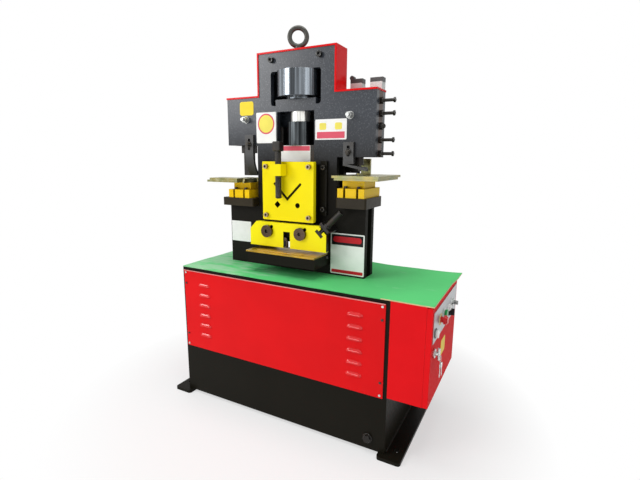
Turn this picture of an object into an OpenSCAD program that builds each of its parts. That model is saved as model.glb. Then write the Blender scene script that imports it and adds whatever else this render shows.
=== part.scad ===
// Hydraulic ironworker: angle shear, flat-bar shear, punch and notcher on a cabinet base.
// Origin on the floor at the centre of the anchor holes, +X right, +Y to the back, +Z up.

/* [Cabinet] */
// width of the cabinet without the electric box
base_w = 960; // [860:5:1060]
// depth of the cabinet
base_d = 480; // [430:5:560]
// height of the cabinet's top plate above the floor
base_h = 600; // [560:5:680]
// height of the closed tank part above the skids
tank_h = 225; // [180:5:260]
// wall thickness of the cabinet
wall_t = 5; // [3:0.5:8]
// thickness of the top plate
top_t = 8; // [6:1:14]
// width of the frame left around each panel opening
opening_rim = 34; // [24:1:50]
// thickness of a floor skid
skid_t = 13; // [8:1:20]
// how far a skid reaches out past the cabinet's side
skid_out = 65; // [50:1:90]
// how far a skid reaches in under the cabinet
skid_in = 25; // [15:1:60]
// how far a skid reaches past the cabinet's front and back
skid_over = 25; // [10:1:40]
// radius of an anchor hole
anchor_r = 9; // [6:0.5:12]
// distance of the anchor holes from the outer edge of the skid
anchor_edge = 30; // [22:1:40]
// distance between the two anchor holes of a skid
anchor_pitch = 400; // [300:10:440]
// corner radius of a skid
skid_r = 12; // [6:1:20]
// thickness of the top mat
mat_t = 8; // [4:1:12]
// how much shorter the mat is behind the electric box
mat_step = 40; // [20:1:60]

/* [Panels] */
// sheet thickness of the panels
panel_t = 3; // [2:0.5:5]
// distance from the panel's edge to the cabinet's left edge
panel_left = 8; // [4:1:20]
// distance from the panel's edge to the cabinet's right edge
panel_right = 15; // [6:1:24]
// height of the rail left bare above the panel
panel_top = 12; // [6:1:24]
// width of a louvre
louvre_w = 64; // [40:1:90]
// height of a louvre's hood
louvre_h = 14; // [8:1:20]
// how far a louvre stands out
louvre_out = 7; // [4:0.5:10]
// wall thickness of a louvre's hood
louvre_t = 1.5; // [1:0.1:2.5]
// louvres in a column
louvre_rows = 6; // [3:1:6]
// distance from the panel's edge to the middle of a louvre column
louvre_in = 114; // [80:1:180]
// distance from the panel's lower edge to the lowest louvre
louvre_low = 63; // [40:1:80]
// distance from the panel's upper edge to the highest louvre
louvre_top = 63; // [40:1:80]
// radius of a panel screw's head
panel_screw_r = 4.5; // [3:0.5:8]
// height of a panel screw's head
panel_screw_h = 3; // [2:0.5:6]
// distance of the side screws from the panel's upper and lower edges
panel_screw_side = 60; // [40:1:90]
// distance of the panel screws from the panel's edge
panel_screw_in = 11; // [9:1:20]
// across-corner radius of the drain plug
drain_r = 15; // [10:1:20]
// distance of the drain plug from the cabinet's right edge
drain_in = 67; // [40:1:120]
// height of the drain plug above the skids
drain_z = 45; // [30:1:80]

/* [Electric box] */
// width of the electric box with its door
box_w = 144; // [120:1:180]
// depth of the electric box
box_d = 432; // [360:4:470]
// sheet thickness of the box and door
sheet_t = 2.5; // [1.5:0.5:4]
// depth of the door's folded rim
door_rim = 19; // [12:1:28]
// gap between the door and the box
door_gap = 0.5; // [0.4:0.1:1.5]
// distance of the hinge line behind the door's rear edge
hinge_back = 7; // [6:0.5:10]
// radius of a hinge barrel
hinge_r = 5; // [4:0.5:5.5]
// length of a hinge barrel
hinge_l = 50; // [30:1:70]
// length of the control plate
control_l = 396; // [330:2:410]
// height of the control plate
control_h = 110; // [96:1:140]
// distance of the control plate below the box's top
control_drop = 24; // [12:1:40]
// thickness of the control plate
control_t = 2; // [1:0.5:4]
// radius of the holes for the control units
unit_r = 11; // [8:0.5:13]
// radial clearance of a control unit in its hole
unit_gap = 0.4; // [0.3:0.05:0.8]
// radius of the emergency-stop head
stop_r = 16; // [13:0.5:24]
// radius of a push button's collar
collar_r = 14.5; // [13:0.5:16]
// distance of the first control unit from the plate's front end
unit_front = 32; // [28:1:40]
// spacing of the control units
unit_pitch = 70; // [64:1:76]
// height of the upper row above the plate's lower edge
row_high = 56; // [50:1:64]
// height of the lower row above the plate's lower edge
row_low = 30; // [26:1:32]
// distance of the latch from the door's front edge
latch_in = 46; // [30:1:80]
// distance of the latch below the control plate
latch_drop = 41; // [30:1:80]
// radius of the latch's rose
latch_r = 16; // [12:0.5:20]
// length of the latch's grip
latch_grip = 42; // [30:1:50]

/* [Head plates] */
// sideways place of the head's centre plane
head_x = -13; // [-60:1:20]
// thickness of one frame plate
plate_t = 25; // [18:1:32]
// gap between the frame plates
plate_gap = 42; // [36:1:56]
// depth of the throats from their inner walls to the shoulders' ends
throat_depth = 158; // [140:1:180]
// how far the column's left edge stays inside the shoulder's end
column_left_in = 2; // [0:1:20]
// how far the column's right edge stays inside the shoulder's end
column_right_in = 31; // [10:1:40]
// height of the shoulders above the cabinet
shoulder_top = 725; // [715:1:745]
// half width of the tower
tower_half = 176; // [170:1:200]
// height of the tower above the cabinet
tower_top = 893; // [880:1:930]
// distance of the throats' inner walls from the centre
throat_x = 190; // [180:1:196]
// floor of the left throat above the cabinet
left_floor = 268; // [250:1:280]
// roof of the left throat above the cabinet
left_roof = 530; // [515:1:535]
// floor of the right throat above the cabinet
right_floor = 286; // [270:1:295]
// roof of the right throat above the cabinet
right_roof = 481; // [478:1:490]
// half width of the cylinder window
window_half = 117; // [112:1:130]
// lower edge of the cylinder window above the cabinet
window_low = 687; // [680:1:695]
// upper edge of the cylinder window above the cabinet
window_high = 821; // [815:1:835]
// corner radius of the windows
window_r = 12; // [6:1:20]
// half width of the ram's slot
slot_half = 88; // [80:1:96]
// half width of the flat-bar opening
foot_half = 155; // [145:1:162]
// lower edge of the flat-bar opening above the cabinet
foot_low = 72; // [64:1:80]
// upper edge of the flat-bar opening above the cabinet
foot_high = 212; // [208:1:220]
// thickness of the edge cover
cover_t = 7; // [4:0.5:10]
// how far the cover stands past the plates' faces
cover_over = 3; // [1:0.5:8]
// radius of the tower's socket screws
tower_bolt_r = 7; // [5:0.5:12]
// sideways place of the tower's socket screws
tower_bolt_x = 111; // [100:1:140]
// distance of the tower's socket screws below the top
tower_bolt_drop = 26; // [24:1:40]
// radius of the shoulder studs
stud_r = 7; // [6:0.5:12]
// sideways place of the shoulder studs
stud_x = 245; // [230:1:280]
// distance of the shoulder studs below the shoulder's top
stud_drop = 88; // [70:1:92]
// radius of the eyebolt's ring at mid section
eye_r = 34.5; // [30:0.5:48]
// radius of the eyebolt's section
eye_section = 9.5; // [8:0.5:13]
// turn of the eyebolt's ring about its shank in degrees
eye_turn = 28; // [0:1:45]
// sideways place of the eyebolt
eye_x = -12; // [-30:1:30]

/* [Cylinder and ram] */
// outer radius of the cylinder tube
tube_r = 97; // [90:1:104]
// radius of the tube's neck and cap
neck_r = 60; // [56:1:70]
// bore radius of the tube
bore_r = 65; // [60:1:70]
// radius of the piston rod
rod_r = 41; // [34:1:42]
// running clearance of the rod and piston
rod_fit = 0.06; // [0.02:0.01:0.1]
// height of the seat's flange
seat_flange = 24; // [18:1:30]
// height of the seat below its flange
seat_h = 24; // [18:1:30]
// half width of the seat's flange
seat_half = 94; // [91:1:100]
// height of the neck below the tube
neck_h = 8; // [4:1:12]
// height of the cap above the tube
cap_h = 2; // [1:0.5:6]
// radius of the rod coupling
coupling_r = 56; // [50:1:62]
// height of the rod coupling
coupling_h = 94; // [80:1:104]
// top of the ram above the cabinet
ram_top = 528; // [518:1:534]
// clearance of the ram in its guides
ram_gap = 0.6; // [0.4:0.1:1.2]
// bottom of the ram's foot above the cabinet
ram_low = 142; // [136:1:150]
// height of the ram's foot
foot_h = 60; // [50:1:64]
// top of the ram's wings above the cabinet
wing_top = 605; // [595:1:612]
// distance of a wing's underside above its throat's roof
wing_lift = 17; // [14:1:22]
// stroke kept free under the ram
ram_stroke = 30; // [24:1:34]
// thickness of the gibs
gib_t = 13; // [10:1:16]
// thickness of the cheeks
cheek_t = 14; // [10:1:18]
// radius of a gib screw
gib_screw_r = 6; // [5:0.5:8]
// reach of a gib screw past the shoulder
gib_screw_out = 57; // [40:1:70]

/* [Shear station] */
// half width of the angle plate
angle_half = 121; // [116:1:126]
// thickness of the angle plate
angle_t = 20; // [14:1:26]
// lower edge of the angle plate above the cabinet
angle_low = 222; // [219:1:226]
// upper edge of the angle plate above the cabinet
angle_high = 462; // [452:1:472]
// thickness of the blade block behind the angle plate
block_t = 44; // [38:1:50]
// how far the blade block stays back from the angle plate's sides
block_in = 9; // [6:1:14]
// tip of the V slot above the angle plate's lower edge
vee_z = 90; // [84:1:96]
// length of one leg of the V slot
vee_l = 90; // [76:1:96]
// width of the V slot
vee_w = 10; // [7:0.5:13]
// side of the square hole
square_s = 21; // [14:1:24]
// radius of the round hole
round_r = 10.5; // [7:0.5:12]
// sideways place of the square and round holes
bar_x = 48; // [42:1:54]
// height of the square and round holes above the plate's lower edge
bar_z = 66; // [60:1:70]
// distance of the plate's screws from its edges
plate_screw_in = 20; // [16:1:24]
// radius of a plate screw's shank
plate_screw_r = 6; // [5:0.5:7]
// sideways place of the hold-down screw
clamp_x = -28; // [-36:1:-22]
// radius of the hold-down screw
clamp_r = 13; // [9:0.5:14]
// radial clearance between parts that move past each other
move_gap = 0.3; // [0.3:0.05:0.6]
// half width of the lug for the hold-down screw
lug_half = 26; // [22:1:30]
// how far the lug stands out
lug_out = 44; // [38:1:50]
// height of the lug
lug_h = 46; // [38:1:52]
// distance of the lug below the plate's upper edge
lug_drop = 10; // [6:1:16]
// side of the hold-down screw's square head
clamp_head = 34; // [26:1:38]
// height of the hold-down screw's head
clamp_head_h = 38; // [30:1:44]
// free height between the screw's head and the lug
clamp_free = 50; // [44:1:56]
// reach of the hold-down screw below the lug
clamp_reach = 91; // [70:1:96]
// half width of the flat-bar hold-down plate
flat_half = 183; // [176:1:190]
// lower edge of the hold-down plate above the cabinet
flat_low = 109.5; // [109:0.5:112]
// height of the hold-down plate
flat_h = 103; // [100:0.5:104]
// thickness of the hold-down plate
flat_t = 20; // [16:1:24]
// chamfer at the hold-down plate's upper corners
flat_cut = 32; // [28:1:36]
// width of the T slot in the hold-down plate
tee_w = 38; // [36:1:40]
// height of the T slot's head
tee_h = 14; // [13:1:16]
// width of the T slot's neck
tee_neck_w = 16; // [14:1:18]
// length of the T slot's neck
tee_neck_l = 60; // [56:1:64]
// sideways place of the left guide screw
guide_x = -93; // [-97:1:-89]
// distance between the guide screws
guide_pitch = 160; // [150:1:166]
// height of the guide screws above the plate's lower edge
guide_z = 65; // [60:1:68]
// length of a guide slot
guide_run = 28; // [24:1:30]
// half width of a guide slot
guide_slot_r = 7; // [6:0.5:8]
// radius of a guide screw's head
guide_head_r = 26; // [22:1:28]
// half width of the hold-down plate's middle slot
middle_slot = 16; // [14:1:20]
// radius of the stop bolt in the middle slot
stop_bolt_r = 7; // [5:0.5:7.5]
// sideways place of the adjusting screw's foot
adjust_x = 151; // [148:1:154]
// height of the adjusting screw's foot above the plate's lower edge
adjust_z = 73; // [70:1:75]
// radius of the adjusting screw
adjust_r = 8; // [6:0.5:9]
// radius of the adjusting knob
knob_r = 12; // [11:0.5:14]
// length of the adjusting knob
knob_l = 85; // [70:1:95]
// half width of the shear table
table_half = 163; // [150:1:172]
// top of the shear table above the cabinet
table_z = 97; // [94:0.5:98]
// thickness of the shear table
table_t = 6; // [4:1:8]
// reach of the shear table from the plate's front face
table_out = 133; // [110:1:145]
// thickness of the block under the shear table
table_block_h = 44; // [38:1:48]
// height of the flat-bar blades
blade_h = 25; // [20:1:30]
// thickness of the blades
blade_t = 20; // [16:1:24]
// half length of the flat-bar blades
blade_half = 150; // [140:1:152]

/* [Punch and notch stations] */
// height of the right bolster
right_bolster_h = 40; // [34:1:44]
// height of the left bolster
left_bolster_h = 35; // [30:1:40]
// depth of the bolsters
bolster_d = 176; // [160:2:190]
// width of the right bolster
right_bolster_w = 127; // [118:1:140]
// width of the left bolster
left_bolster_w = 166; // [150:1:172]
// width of a die holder
holder_w = 112; // [104:1:120]
// depth of a die holder
holder_d = 168; // [156:2:176]
// height of a die holder's flange
holder_flange = 36; // [30:1:40]
// width of a die holder's upper block
holder_block_w = 92; // [84:1:100]
// depth of a die holder's upper block
holder_block_d = 116; // [104:2:124]
// height of a die holder's upper block
holder_block_h = 32; // [28:1:36]
// half distance of the holder's screw slots
holder_slot_x = 27; // [22:1:32]
// half width of a holder's screw slot
holder_slot_r = 4.5; // [4:0.5:6]
// radius of the die
die_r = 23.5; // [20:0.5:26]
// how far the die stands above the table
die_proud = 7; // [4:1:8]
// radius of the die's raised rim
die_rim_r = 13; // [11:0.5:18]
// radius of the punch
punch_r = 7; // [5:0.5:9]
// clearance of the punch in its die
punch_gap = 0.4; // [0.3:0.05:0.8]
// radius of the punch holder
punch_holder_r = 15; // [12:1:20]
// height of the punch tip above the die
punch_lift = 8; // [6:1:10]
// length of the punch below its holder
punch_l = 24; // [23:0.5:26]
// sides of the notch punch
notch_w = 40; // [30:1:46]
// depth of the notch punch
notch_d = 30; // [22:1:34]
// thickness of one table layer
layer_t = 9; // [6:1:10]
// width of the right table
right_table_w = 187; // [170:1:196]
// how far the right table reaches behind the centre plane
right_table_back = 137; // [110:1:150]
// width of the left table
left_table_w = 206; // [190:1:220]
// how far the tables reach in front of the centre plane
table_front = 125; // [112:1:135]
// thickness of the strippers
stripper_t = 12; // [8:0.5:14]
// width of the strippers
stripper_w = 42; // [36:1:44]
// distance of the right stripper's slot inside the punch axis
right_stripper_in = 25; // [20:1:30]
// slope of the right stripper's finger in degrees
finger_slope = 12; // [8:1:14]

/* [Rear side] */
// sheet thickness of the rear cover
rear_cover_t = 2.5; // [1.5:0.5:4]
// depth of the rear cover
rear_cover_d = 58; // [56:1:66]
// how far the rear cover reaches past the openings behind it
rear_cover_over = 14; // [10:1:18]
// radius of the oil pipe
pipe_r = 8; // [6:0.5:10]
// radius of the pipe's bends
pipe_bend = 24; // [20:1:30]
// radius of the pump motor
motor_r = 80; // [65:1:90]
// length of the pump motor
motor_l = 240; // [180:5:280]
// how far the motor's foot stays in from its ends
motor_foot_in = 30; // [20:1:40]
// length of the pump
pump_l = 90; // [70:1:110]
// space between the pump and the valve block
valve_gap = 30; // [20:1:40]
// length of the valve block
valve_l = 100; // [80:1:120]
// width of the valve block
valve_w = 120; // [100:1:140]
// height of the valve block
valve_h = 130; // [110:1:150]
// space from the tower or the pipe to the inner switch box
switch_gap = 22; // [18:1:26]
// height of the switch boxes above the shoulder
switch_rise = 44; // [38:1:50]

/* [Hidden] */
$fn = 48;
past = 1;

red = [0.80, 0.05, 0.06];
black = [0.07, 0.07, 0.07];
slate = [0.16, 0.18, 0.20];
yellow = [0.96, 0.80, 0.02];
green = [0.12, 0.55, 0.27];
steel = [0.55, 0.56, 0.58];
dark_steel = [0.20, 0.20, 0.21];
zinc = [0.66, 0.62, 0.42];
chrome = [0.85, 0.86, 0.88];
grey = [0.62, 0.63, 0.64];

// cabinet
half_w = base_w / 2;
half_d = base_d / 2;
tank_z = skid_t + tank_h;
skid_x0 = half_w - skid_in;
skid_x1 = half_w + skid_out;
anchor_x = skid_x1 - anchor_edge;
panel_x0 = -half_w + panel_left;
panel_x1 = half_w - panel_right;
panel_z0 = tank_z - 6;
panel_z1 = base_h - panel_top;
side_panel_in = 14;
louvre_pitch = (panel_z1 - panel_z0 - louvre_low - louvre_top) / (louvre_rows - 1);
hood_r = (louvre_h * louvre_h + louvre_out * louvre_out) / (2 * louvre_out);
hood_end = louvre_w / 2 - louvre_h;

// electric box
box_x0 = half_w;
box_x1 = half_w + box_w;
box_y0 = -half_d;
box_y1 = box_y0 + box_d;
door_x0 = box_x1 - door_rim;
door_z0 = tank_z + 1;
door_z1 = base_h - sheet_t - 1;
hinge_x = box_x1 - hinge_r - 2;
hinge_y = box_y1 + hinge_back;
mat_slope_in = 170;
mat_slope_out = 265;
hinge_in = 50;
hinge_leaf = 40;
control_y0 = box_y0 + (box_d - control_l) / 2;
control_z1 = base_h - control_drop;
control_z0 = control_z1 - control_h;
control_x1 = box_x1 + control_t;
unit_y0 = control_y0 + unit_front;
high_z = control_z0 + row_high;
low_z = control_z0 + row_low;
white_y = unit_y0;
stop_y = unit_y0 + unit_pitch;
green_y = unit_y0 + 2 * unit_pitch;
lamp_y = unit_y0 + 3 * unit_pitch;
selector_y = unit_y0 + 3.4 * unit_pitch;
key_y = unit_y0 + 4 * unit_pitch;
latch_y = box_y0 + latch_in;
latch_z = control_z0 - latch_drop;
latch_stem = 16;
mount_edge = 60;
mount_low = 30;
mount_high = 40;
contactor_low = 140;
contactor_h = 80;
contactor_w = 50;
contactor_pitch = 70;
contactor_count = 4;
contactor_d = 60;

// head
front_y = -plate_gap / 2 - plate_t;
rear_y = -front_y;
inner_y = plate_gap / 2;
shoulder_half = throat_x + throat_depth;
column_left = shoulder_half - column_left_in;
column_right = shoulder_half - column_right_in;
shoulder_z = base_h + shoulder_top;
tower_z = base_h + tower_top;
left_floor_z = base_h + left_floor;
left_roof_z = base_h + left_roof;
right_floor_z = base_h + right_floor;
right_roof_z = base_h + right_roof;
window_z0 = base_h + window_low;
window_z1 = base_h + window_high;
foot_z0 = base_h + foot_low;
foot_z1 = base_h + foot_high;
tower_bolt_z = tower_z - tower_bolt_drop;
stud_z = shoulder_z - stud_drop;
cover_y0 = front_y - cover_over;
cover_y1 = rear_y + cover_over;

// cylinder and ram
axis_y = 0;
seat_z0 = window_z0 - seat_h;
seat_z1 = window_z0 + seat_flange;
tube_z0 = seat_z1 + neck_h;
tube_z1 = window_z1 - cap_h;
ram_top_z = base_h + ram_top;
ram_low_z = base_h + ram_low;
coupling_top_z = ram_top_z + coupling_h;
ram_y0 = front_y + 2;
ram_y1 = inner_y - 1;
wing_top_z = base_h + wing_top;
wing_right_z = right_roof_z + wing_lift;
wing_left_z = left_roof_z + wing_lift;
cheek_x = shoulder_half - cheek_t;
gib_x = cheek_x - gib_t;
wing_x = gib_x - ram_gap;
gib_heights = [shoulder_z - 35, shoulder_z - 82, right_roof_z + 65, right_roof_z + 14];
cap_nut_z = shoulder_z - 128;
piston_h = 28;
piston_z1 = tube_z1 - 8;
piston_z0 = piston_z1 - piston_h;

// shear station
block_y0 = front_y - block_t;
angle_y0 = block_y0 - angle_t;
angle_z0 = base_h + angle_low;
angle_z1 = base_h + angle_high;
vee_tip_z = angle_z0 + vee_z;
bar_hole_z = angle_z0 + bar_z;
lug_z1 = angle_z1 - lug_drop;
lug_z0 = lug_z1 - lug_h;
clamp_y = angle_y0 - lug_out / 2;
clamp_z0 = lug_z0 - clamp_reach;
clamp_z1 = lug_z1 + clamp_free;
block_z0 = base_h + 135;
block_step_z = base_h + 216;
block_z1 = angle_z1 - 10;
backing_y0 = block_y0 - 8;
backing_half = 146;
flat_z0 = base_h + flat_low;
flat_z1 = flat_z0 + flat_h;
flat_y1 = backing_y0 - move_gap;
flat_y0 = flat_y1 - flat_t;
guide_hole_z = flat_z0 + guide_z;
adjust_foot_z = flat_z0 + adjust_z;
adjust_y = (flat_y0 + flat_y1) / 2;
bracket_s0 = 30;
bracket_s1 = 42;
bracket_half = 25;
table_top_z = base_h + table_z;
table_y0 = front_y - table_out;
blade_y0 = front_y - blade_t;
table_block_z1 = table_top_z - table_t;
table_block_z0 = table_block_z1 - table_block_h;
blade_z0 = table_top_z - blade_h;
recess_half = 75;
recess_low = 256;
recess_high = 400;
recess_z0 = base_h + recess_low;
recess_z1 = base_h + recess_high;
recess_y1 = ram_y0 + blade_t;
keeper_x0 = angle_half + 3;
keeper_w = 28;
keeper_x1 = keeper_x0 + keeper_w;
keeper_t = 12;
keeper_end = 26;
keeper_z0 = angle_z0 + keeper_end;
keeper_z1 = angle_z1 + 4;
keeper_mid = (keeper_x0 + keeper_x1) / 2;
keeper_heights = [keeper_z0 + keeper_end, keeper_z1 - keeper_end];
stop_bolt_x = -4;
stop_bolt_z = flat_z0 + 38;
middle_slot_h = 68;

// stations
station_x = throat_x + throat_depth / 2 - 1;
right_bolster_z = right_floor_z + right_bolster_h;
left_bolster_z = left_floor_z + left_bolster_h;
right_flange_z = right_bolster_z + holder_flange;
left_flange_z = left_bolster_z + holder_flange;
right_block_z = right_flange_z + holder_block_h;
left_block_z = left_flange_z + holder_block_h;
right_table_z = right_block_z + 2 * layer_t;
left_table_z = left_block_z + 2 * layer_t;
right_bolster_x0 = throat_x + 16;
left_bolster_x1 = -throat_x;
die_top_z = right_table_z + die_proud;
die_low_z = right_block_z - 18;
punch_tip_z = die_top_z + punch_lift;
punch_holder_z = punch_tip_z + punch_l;
notch_tip_z = left_table_z + 10;
notch_holder_z = wing_left_z - 50;
notch_die_half_w = notch_w / 2 + 12;
notch_die_half_d = notch_d / 2 + 20;
notch_die_low_z = left_flange_z + 7;
right_table_x0 = station_x - 62;
fence_x0 = station_x - 16;
fence_w = 40;
left_table_x1 = -station_x + 63;
left_table_x0 = left_table_x1 - left_table_w;
left_table_y1 = -notch_die_half_d - move_gap;
screw_y = holder_d / 2 - 15;
stripper_y1 = front_y - move_gap;
stripper_y0 = stripper_y1 - stripper_t;
right_stripper_x = station_x - right_stripper_in;
left_stripper_x = -(station_x - notch_w / 2 - 1 - stripper_w / 2);
right_stripper_z0 = right_roof_z - 26;
right_stripper_z1 = right_stripper_z0 + 82;
right_stud_z = right_stripper_z0 + 45;
left_stripper_z0 = left_roof_z - 40;
left_stripper_z1 = left_roof_z + 43;
left_stud_z = left_roof_z + 3;
stripper_slot_r = 7;
stripper_short = 10;
stripper_long = 18;
stripper_bend = 134;
stripper_bend_angle = 38;
finger_l = 100;
finger_t = 9;
finger_bar = 20;
fork_wall = 10;
fork_back = 18;

// rear side
rear_cover_half = window_half + rear_cover_over;
rear_cover_z0 = ram_top_z - ram_stroke - rear_cover_over - 12;
rear_cover_z1 = window_z1 + rear_cover_over;
rear_cover_y1 = rear_y + rear_cover_d;
guard_t = 4;
guard_x0 = throat_x - 40;
guard_x1 = station_x - 18;
guard_z0 = right_table_z + 6;
guard_z1 = right_roof_z + 20;
tee_gap = 1;
motor_x = -180;
motor_lift = 24;
oil_x = rear_cover_half + pipe_bend + 10;
oil_y = rear_y + 24;
pipe_z = (tube_z0 + tube_z1) / 2;

module block(x0, x1, y0, y1, z0, z1) {
    translate([x0, y0, z0]) cube([x1 - x0, y1 - y0, z1 - z0]);
}

module pin_x(y, z, r, x0, x1, sides = 48) {
    translate([x0, y, z]) rotate([0, 90, 0]) cylinder(r = r, h = x1 - x0, $fn = sides);
}

module pin_y(x, z, r, y0, y1, sides = 48) {
    translate([x, y1, z]) rotate([90, 0, 0]) cylinder(r = r, h = y1 - y0, $fn = sides);
}

module pin_z(x, y, r, z0, z1, sides = 48) {
    translate([x, y, z0]) cylinder(r = r, h = z1 - z0, $fn = sides);
}

module slab_y(y0, y1) {
    translate([0, y1, 0]) rotate([90, 0, 0]) linear_extrude(height = y1 - y0) children();
}

module slab_x(x0, x1) {
    translate([x0, 0, 0]) rotate([90, 0, 90]) linear_extrude(height = x1 - x0) children();
}

module soft_rect(x0, x1, z0, z1, r) {
    translate([x0 + r, z0]) square([x1 - x0 - 2 * r, z1 - z0]);
    translate([x0, z0 + r]) square([x1 - x0, z1 - z0 - 2 * r]);
    for (x = [x0 + r, x1 - r], z = [z0 + r, z1 - r]) translate([x, z]) circle(r = r);
}

// Slot with round ends; its straight sides stand slightly inside the end circles.
module slot_2d(x, z, dx, dz, r) {
    run = norm([dx, dz]);
    side = 0.98 * r;
    translate([x, z]) rotate(atan2(dz, dx)) translate([0, -side]) square([run, 2 * side]);
    translate([x, z]) circle(r = r);
    translate([x + dx, z + dz]) circle(r = r);
}

// V slot with its tip below and both legs rising at 45 degrees.
module vee_2d(tip, leg, w) {
    c = w / sqrt(8);
    end = leg + tip;
    polygon([[0, tip - 2 * c], [leg + c, end - c], [leg - c, end + c],
        [0, tip + 2 * c], [c - leg, end + c], [-c - leg, end - c]]);
}

module head() {
    translate([head_x, 0, 0]) children();
}

// Cap screw along Y: the head stands in front of the face, the shank goes back.
module cap_screw_y(x, z, face, r, shank) {
    difference() {
        pin_y(x, z, 1.6 * r, face - 1.9 * r, face);
        pin_y(x, z, 0.95 * r, face - 1.9 * r - past, face - 1.0 * r, 6);
    }
    pin_y(x, z, r, face, face + shank);
}

// Cap screw along Z: the head stands on the face, the shank goes down.
module cap_screw_z(x, y, face, r, shank) {
    difference() {
        pin_z(x, y, 1.7 * r, face, face + 2.2 * r);
        pin_z(x, y, 0.95 * r, face + 1.1 * r, face + 2.2 * r + past, 6);
    }
    pin_z(x, y, r, face - shank, face);
}

// Cabinet

module base_frame() {
    rim = opening_rim;
    color(black) difference() {
        block(-half_w, half_w, -half_d, half_d, skid_t, base_h);
        block(-half_w + wall_t, half_w - wall_t, -half_d + wall_t, half_d - wall_t,
            skid_t + wall_t, tank_z - wall_t);
        block(-half_w + wall_t, half_w - wall_t, -half_d + wall_t, half_d - wall_t, tank_z, base_h - top_t);
        block(panel_x0 + rim, panel_x1 - rim, -half_d - past, -half_d + wall_t + past,
            panel_z0 + rim, panel_z1 - rim);
        block(panel_x0 + rim, panel_x1 - rim, half_d - wall_t - past, half_d + past,
            panel_z0 + rim, panel_z1 - rim);
        block(-half_w - past, -half_w + wall_t + past, -half_d + 2 * rim, half_d - 2 * rim,
            panel_z0 + rim, panel_z1 - rim);
    }
}

// Upper half of a bar with ball ends, as a louvre is pressed; its ends stand slightly past its sides.
module louvre_shape(r, back) {
    intersection() {
        translate([0, hood_r - louvre_out, 0]) {
            pin_x(0, 0, r, -hood_end, hood_end);
            for (s = [-1, 1]) translate([s * hood_end, 0, 0]) sphere(r = r + 0.15);
        }
        block(-louvre_w, louvre_w, -louvre_w, back, 0, louvre_w);
    }
}

module louvre_column(x, r, back) {
    for (i = [0 : louvre_rows - 1])
        translate([x, -half_d - panel_t, panel_z0 + louvre_low + i * louvre_pitch]) louvre_shape(r, back);
}

module front_panel() {
    color(red) difference() {
        union() {
            block(panel_x0, panel_x1, -half_d - panel_t, -half_d, panel_z0, panel_z1);
            for (x = [panel_x0 + louvre_in, panel_x1 - louvre_in]) louvre_column(x, hood_r, past);
        }
        for (x = [panel_x0 + louvre_in, panel_x1 - louvre_in])
            louvre_column(x, hood_r - louvre_t, panel_t + past);
    }
}

module cover_panels() {
    color(red) {
        block(panel_x0, panel_x1, half_d, half_d + panel_t, panel_z0, panel_z1);
        block(-half_w - panel_t, -half_w, -half_d + side_panel_in, half_d - side_panel_in,
            panel_z0, panel_z1);
    }
}

module skids() {
    color(black) for (s = [-1, 1]) difference() {
        linear_extrude(height = skid_t) soft_rect(s > 0 ? skid_x0 : -skid_x1, s > 0 ? skid_x1 : -skid_x0,
            -half_d - skid_over, half_d + skid_over, skid_r);
        for (y = [-anchor_pitch / 2, anchor_pitch / 2])
            pin_z(s * anchor_x, y, anchor_r, -past, skid_t + past);
    }
}

module top_mat() {
    gap = 1;
    color(green) difference() {
        translate([0, 0, base_h]) linear_extrude(height = mat_t)
            polygon([[-half_w, -half_d], [box_x1, -half_d], [box_x1, half_d - mat_step],
                [half_w - mat_slope_in, half_d - mat_step], [half_w - mat_slope_out, half_d],
                [-half_w, half_d]]);
        head() block(-column_left - gap, column_right + gap, front_y - gap, rear_y + gap,
            base_h - past, base_h + mat_t + past);
        head() pin_z(oil_x, oil_y, pipe_r + 8, base_h - past, base_h + mat_t + past);
    }
}

module panel_screws() {
    color(steel) {
        for (x = [panel_x0 + panel_screw_in, panel_x1 - panel_screw_in],
                z = [panel_z0 + panel_screw_in, panel_z0 + panel_screw_side,
                    panel_z1 - panel_screw_side, panel_z1 - panel_screw_in])
            pin_y(x, z, panel_screw_r, -half_d - panel_t - panel_screw_h, -half_d - panel_t);
        for (x = [panel_x0 + panel_screw_in, (panel_x0 + panel_x1) / 2, panel_x1 - panel_screw_in],
                z = [panel_z0 + panel_screw_in, panel_z1 - panel_screw_in])
            pin_y(x, z, panel_screw_r, half_d + panel_t, half_d + panel_t + panel_screw_h);
        for (y = [-half_d + side_panel_in + panel_screw_in, half_d - side_panel_in - panel_screw_in],
                z = [panel_z0 + panel_screw_in, panel_z1 - panel_screw_in])
            pin_x(y, z, panel_screw_r, -half_w - panel_t - panel_screw_h, -half_w - panel_t);
    }
}

module drain_plug() {
    x = half_w - drain_in;
    z = skid_t + drain_z;
    color(dark_steel) {
        pin_y(x, z, drain_r + 3, -half_d - 4, -half_d);
        pin_y(x, z, drain_r, -half_d - 14, -half_d - 4, 6);
    }
}

// Electric box

module electric_box() {
    x1 = door_x0 - door_gap;
    color(red) difference() {
        block(box_x0, x1, box_y0, box_y1, tank_z, base_h);
        block(box_x0 + sheet_t, x1 + past, box_y0 + sheet_t, box_y1 - sheet_t,
            tank_z + sheet_t, base_h - sheet_t);
    }
    color(red) difference() {
        block(box_x0 + sheet_t, box_x1, box_y0 + sheet_t, box_y1, base_h - sheet_t, base_h);
        block(box_x0, x1, box_y0, box_y1 + past, base_h - sheet_t - past, base_h + past);
    }
}

module unit_holes(x0, x1) {
    for (y = [stop_y, green_y, lamp_y, key_y]) pin_x(y, high_z, unit_r, x0, x1);
    for (y = [white_y, selector_y]) pin_x(y, low_z, unit_r, x0, x1);
}

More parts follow.
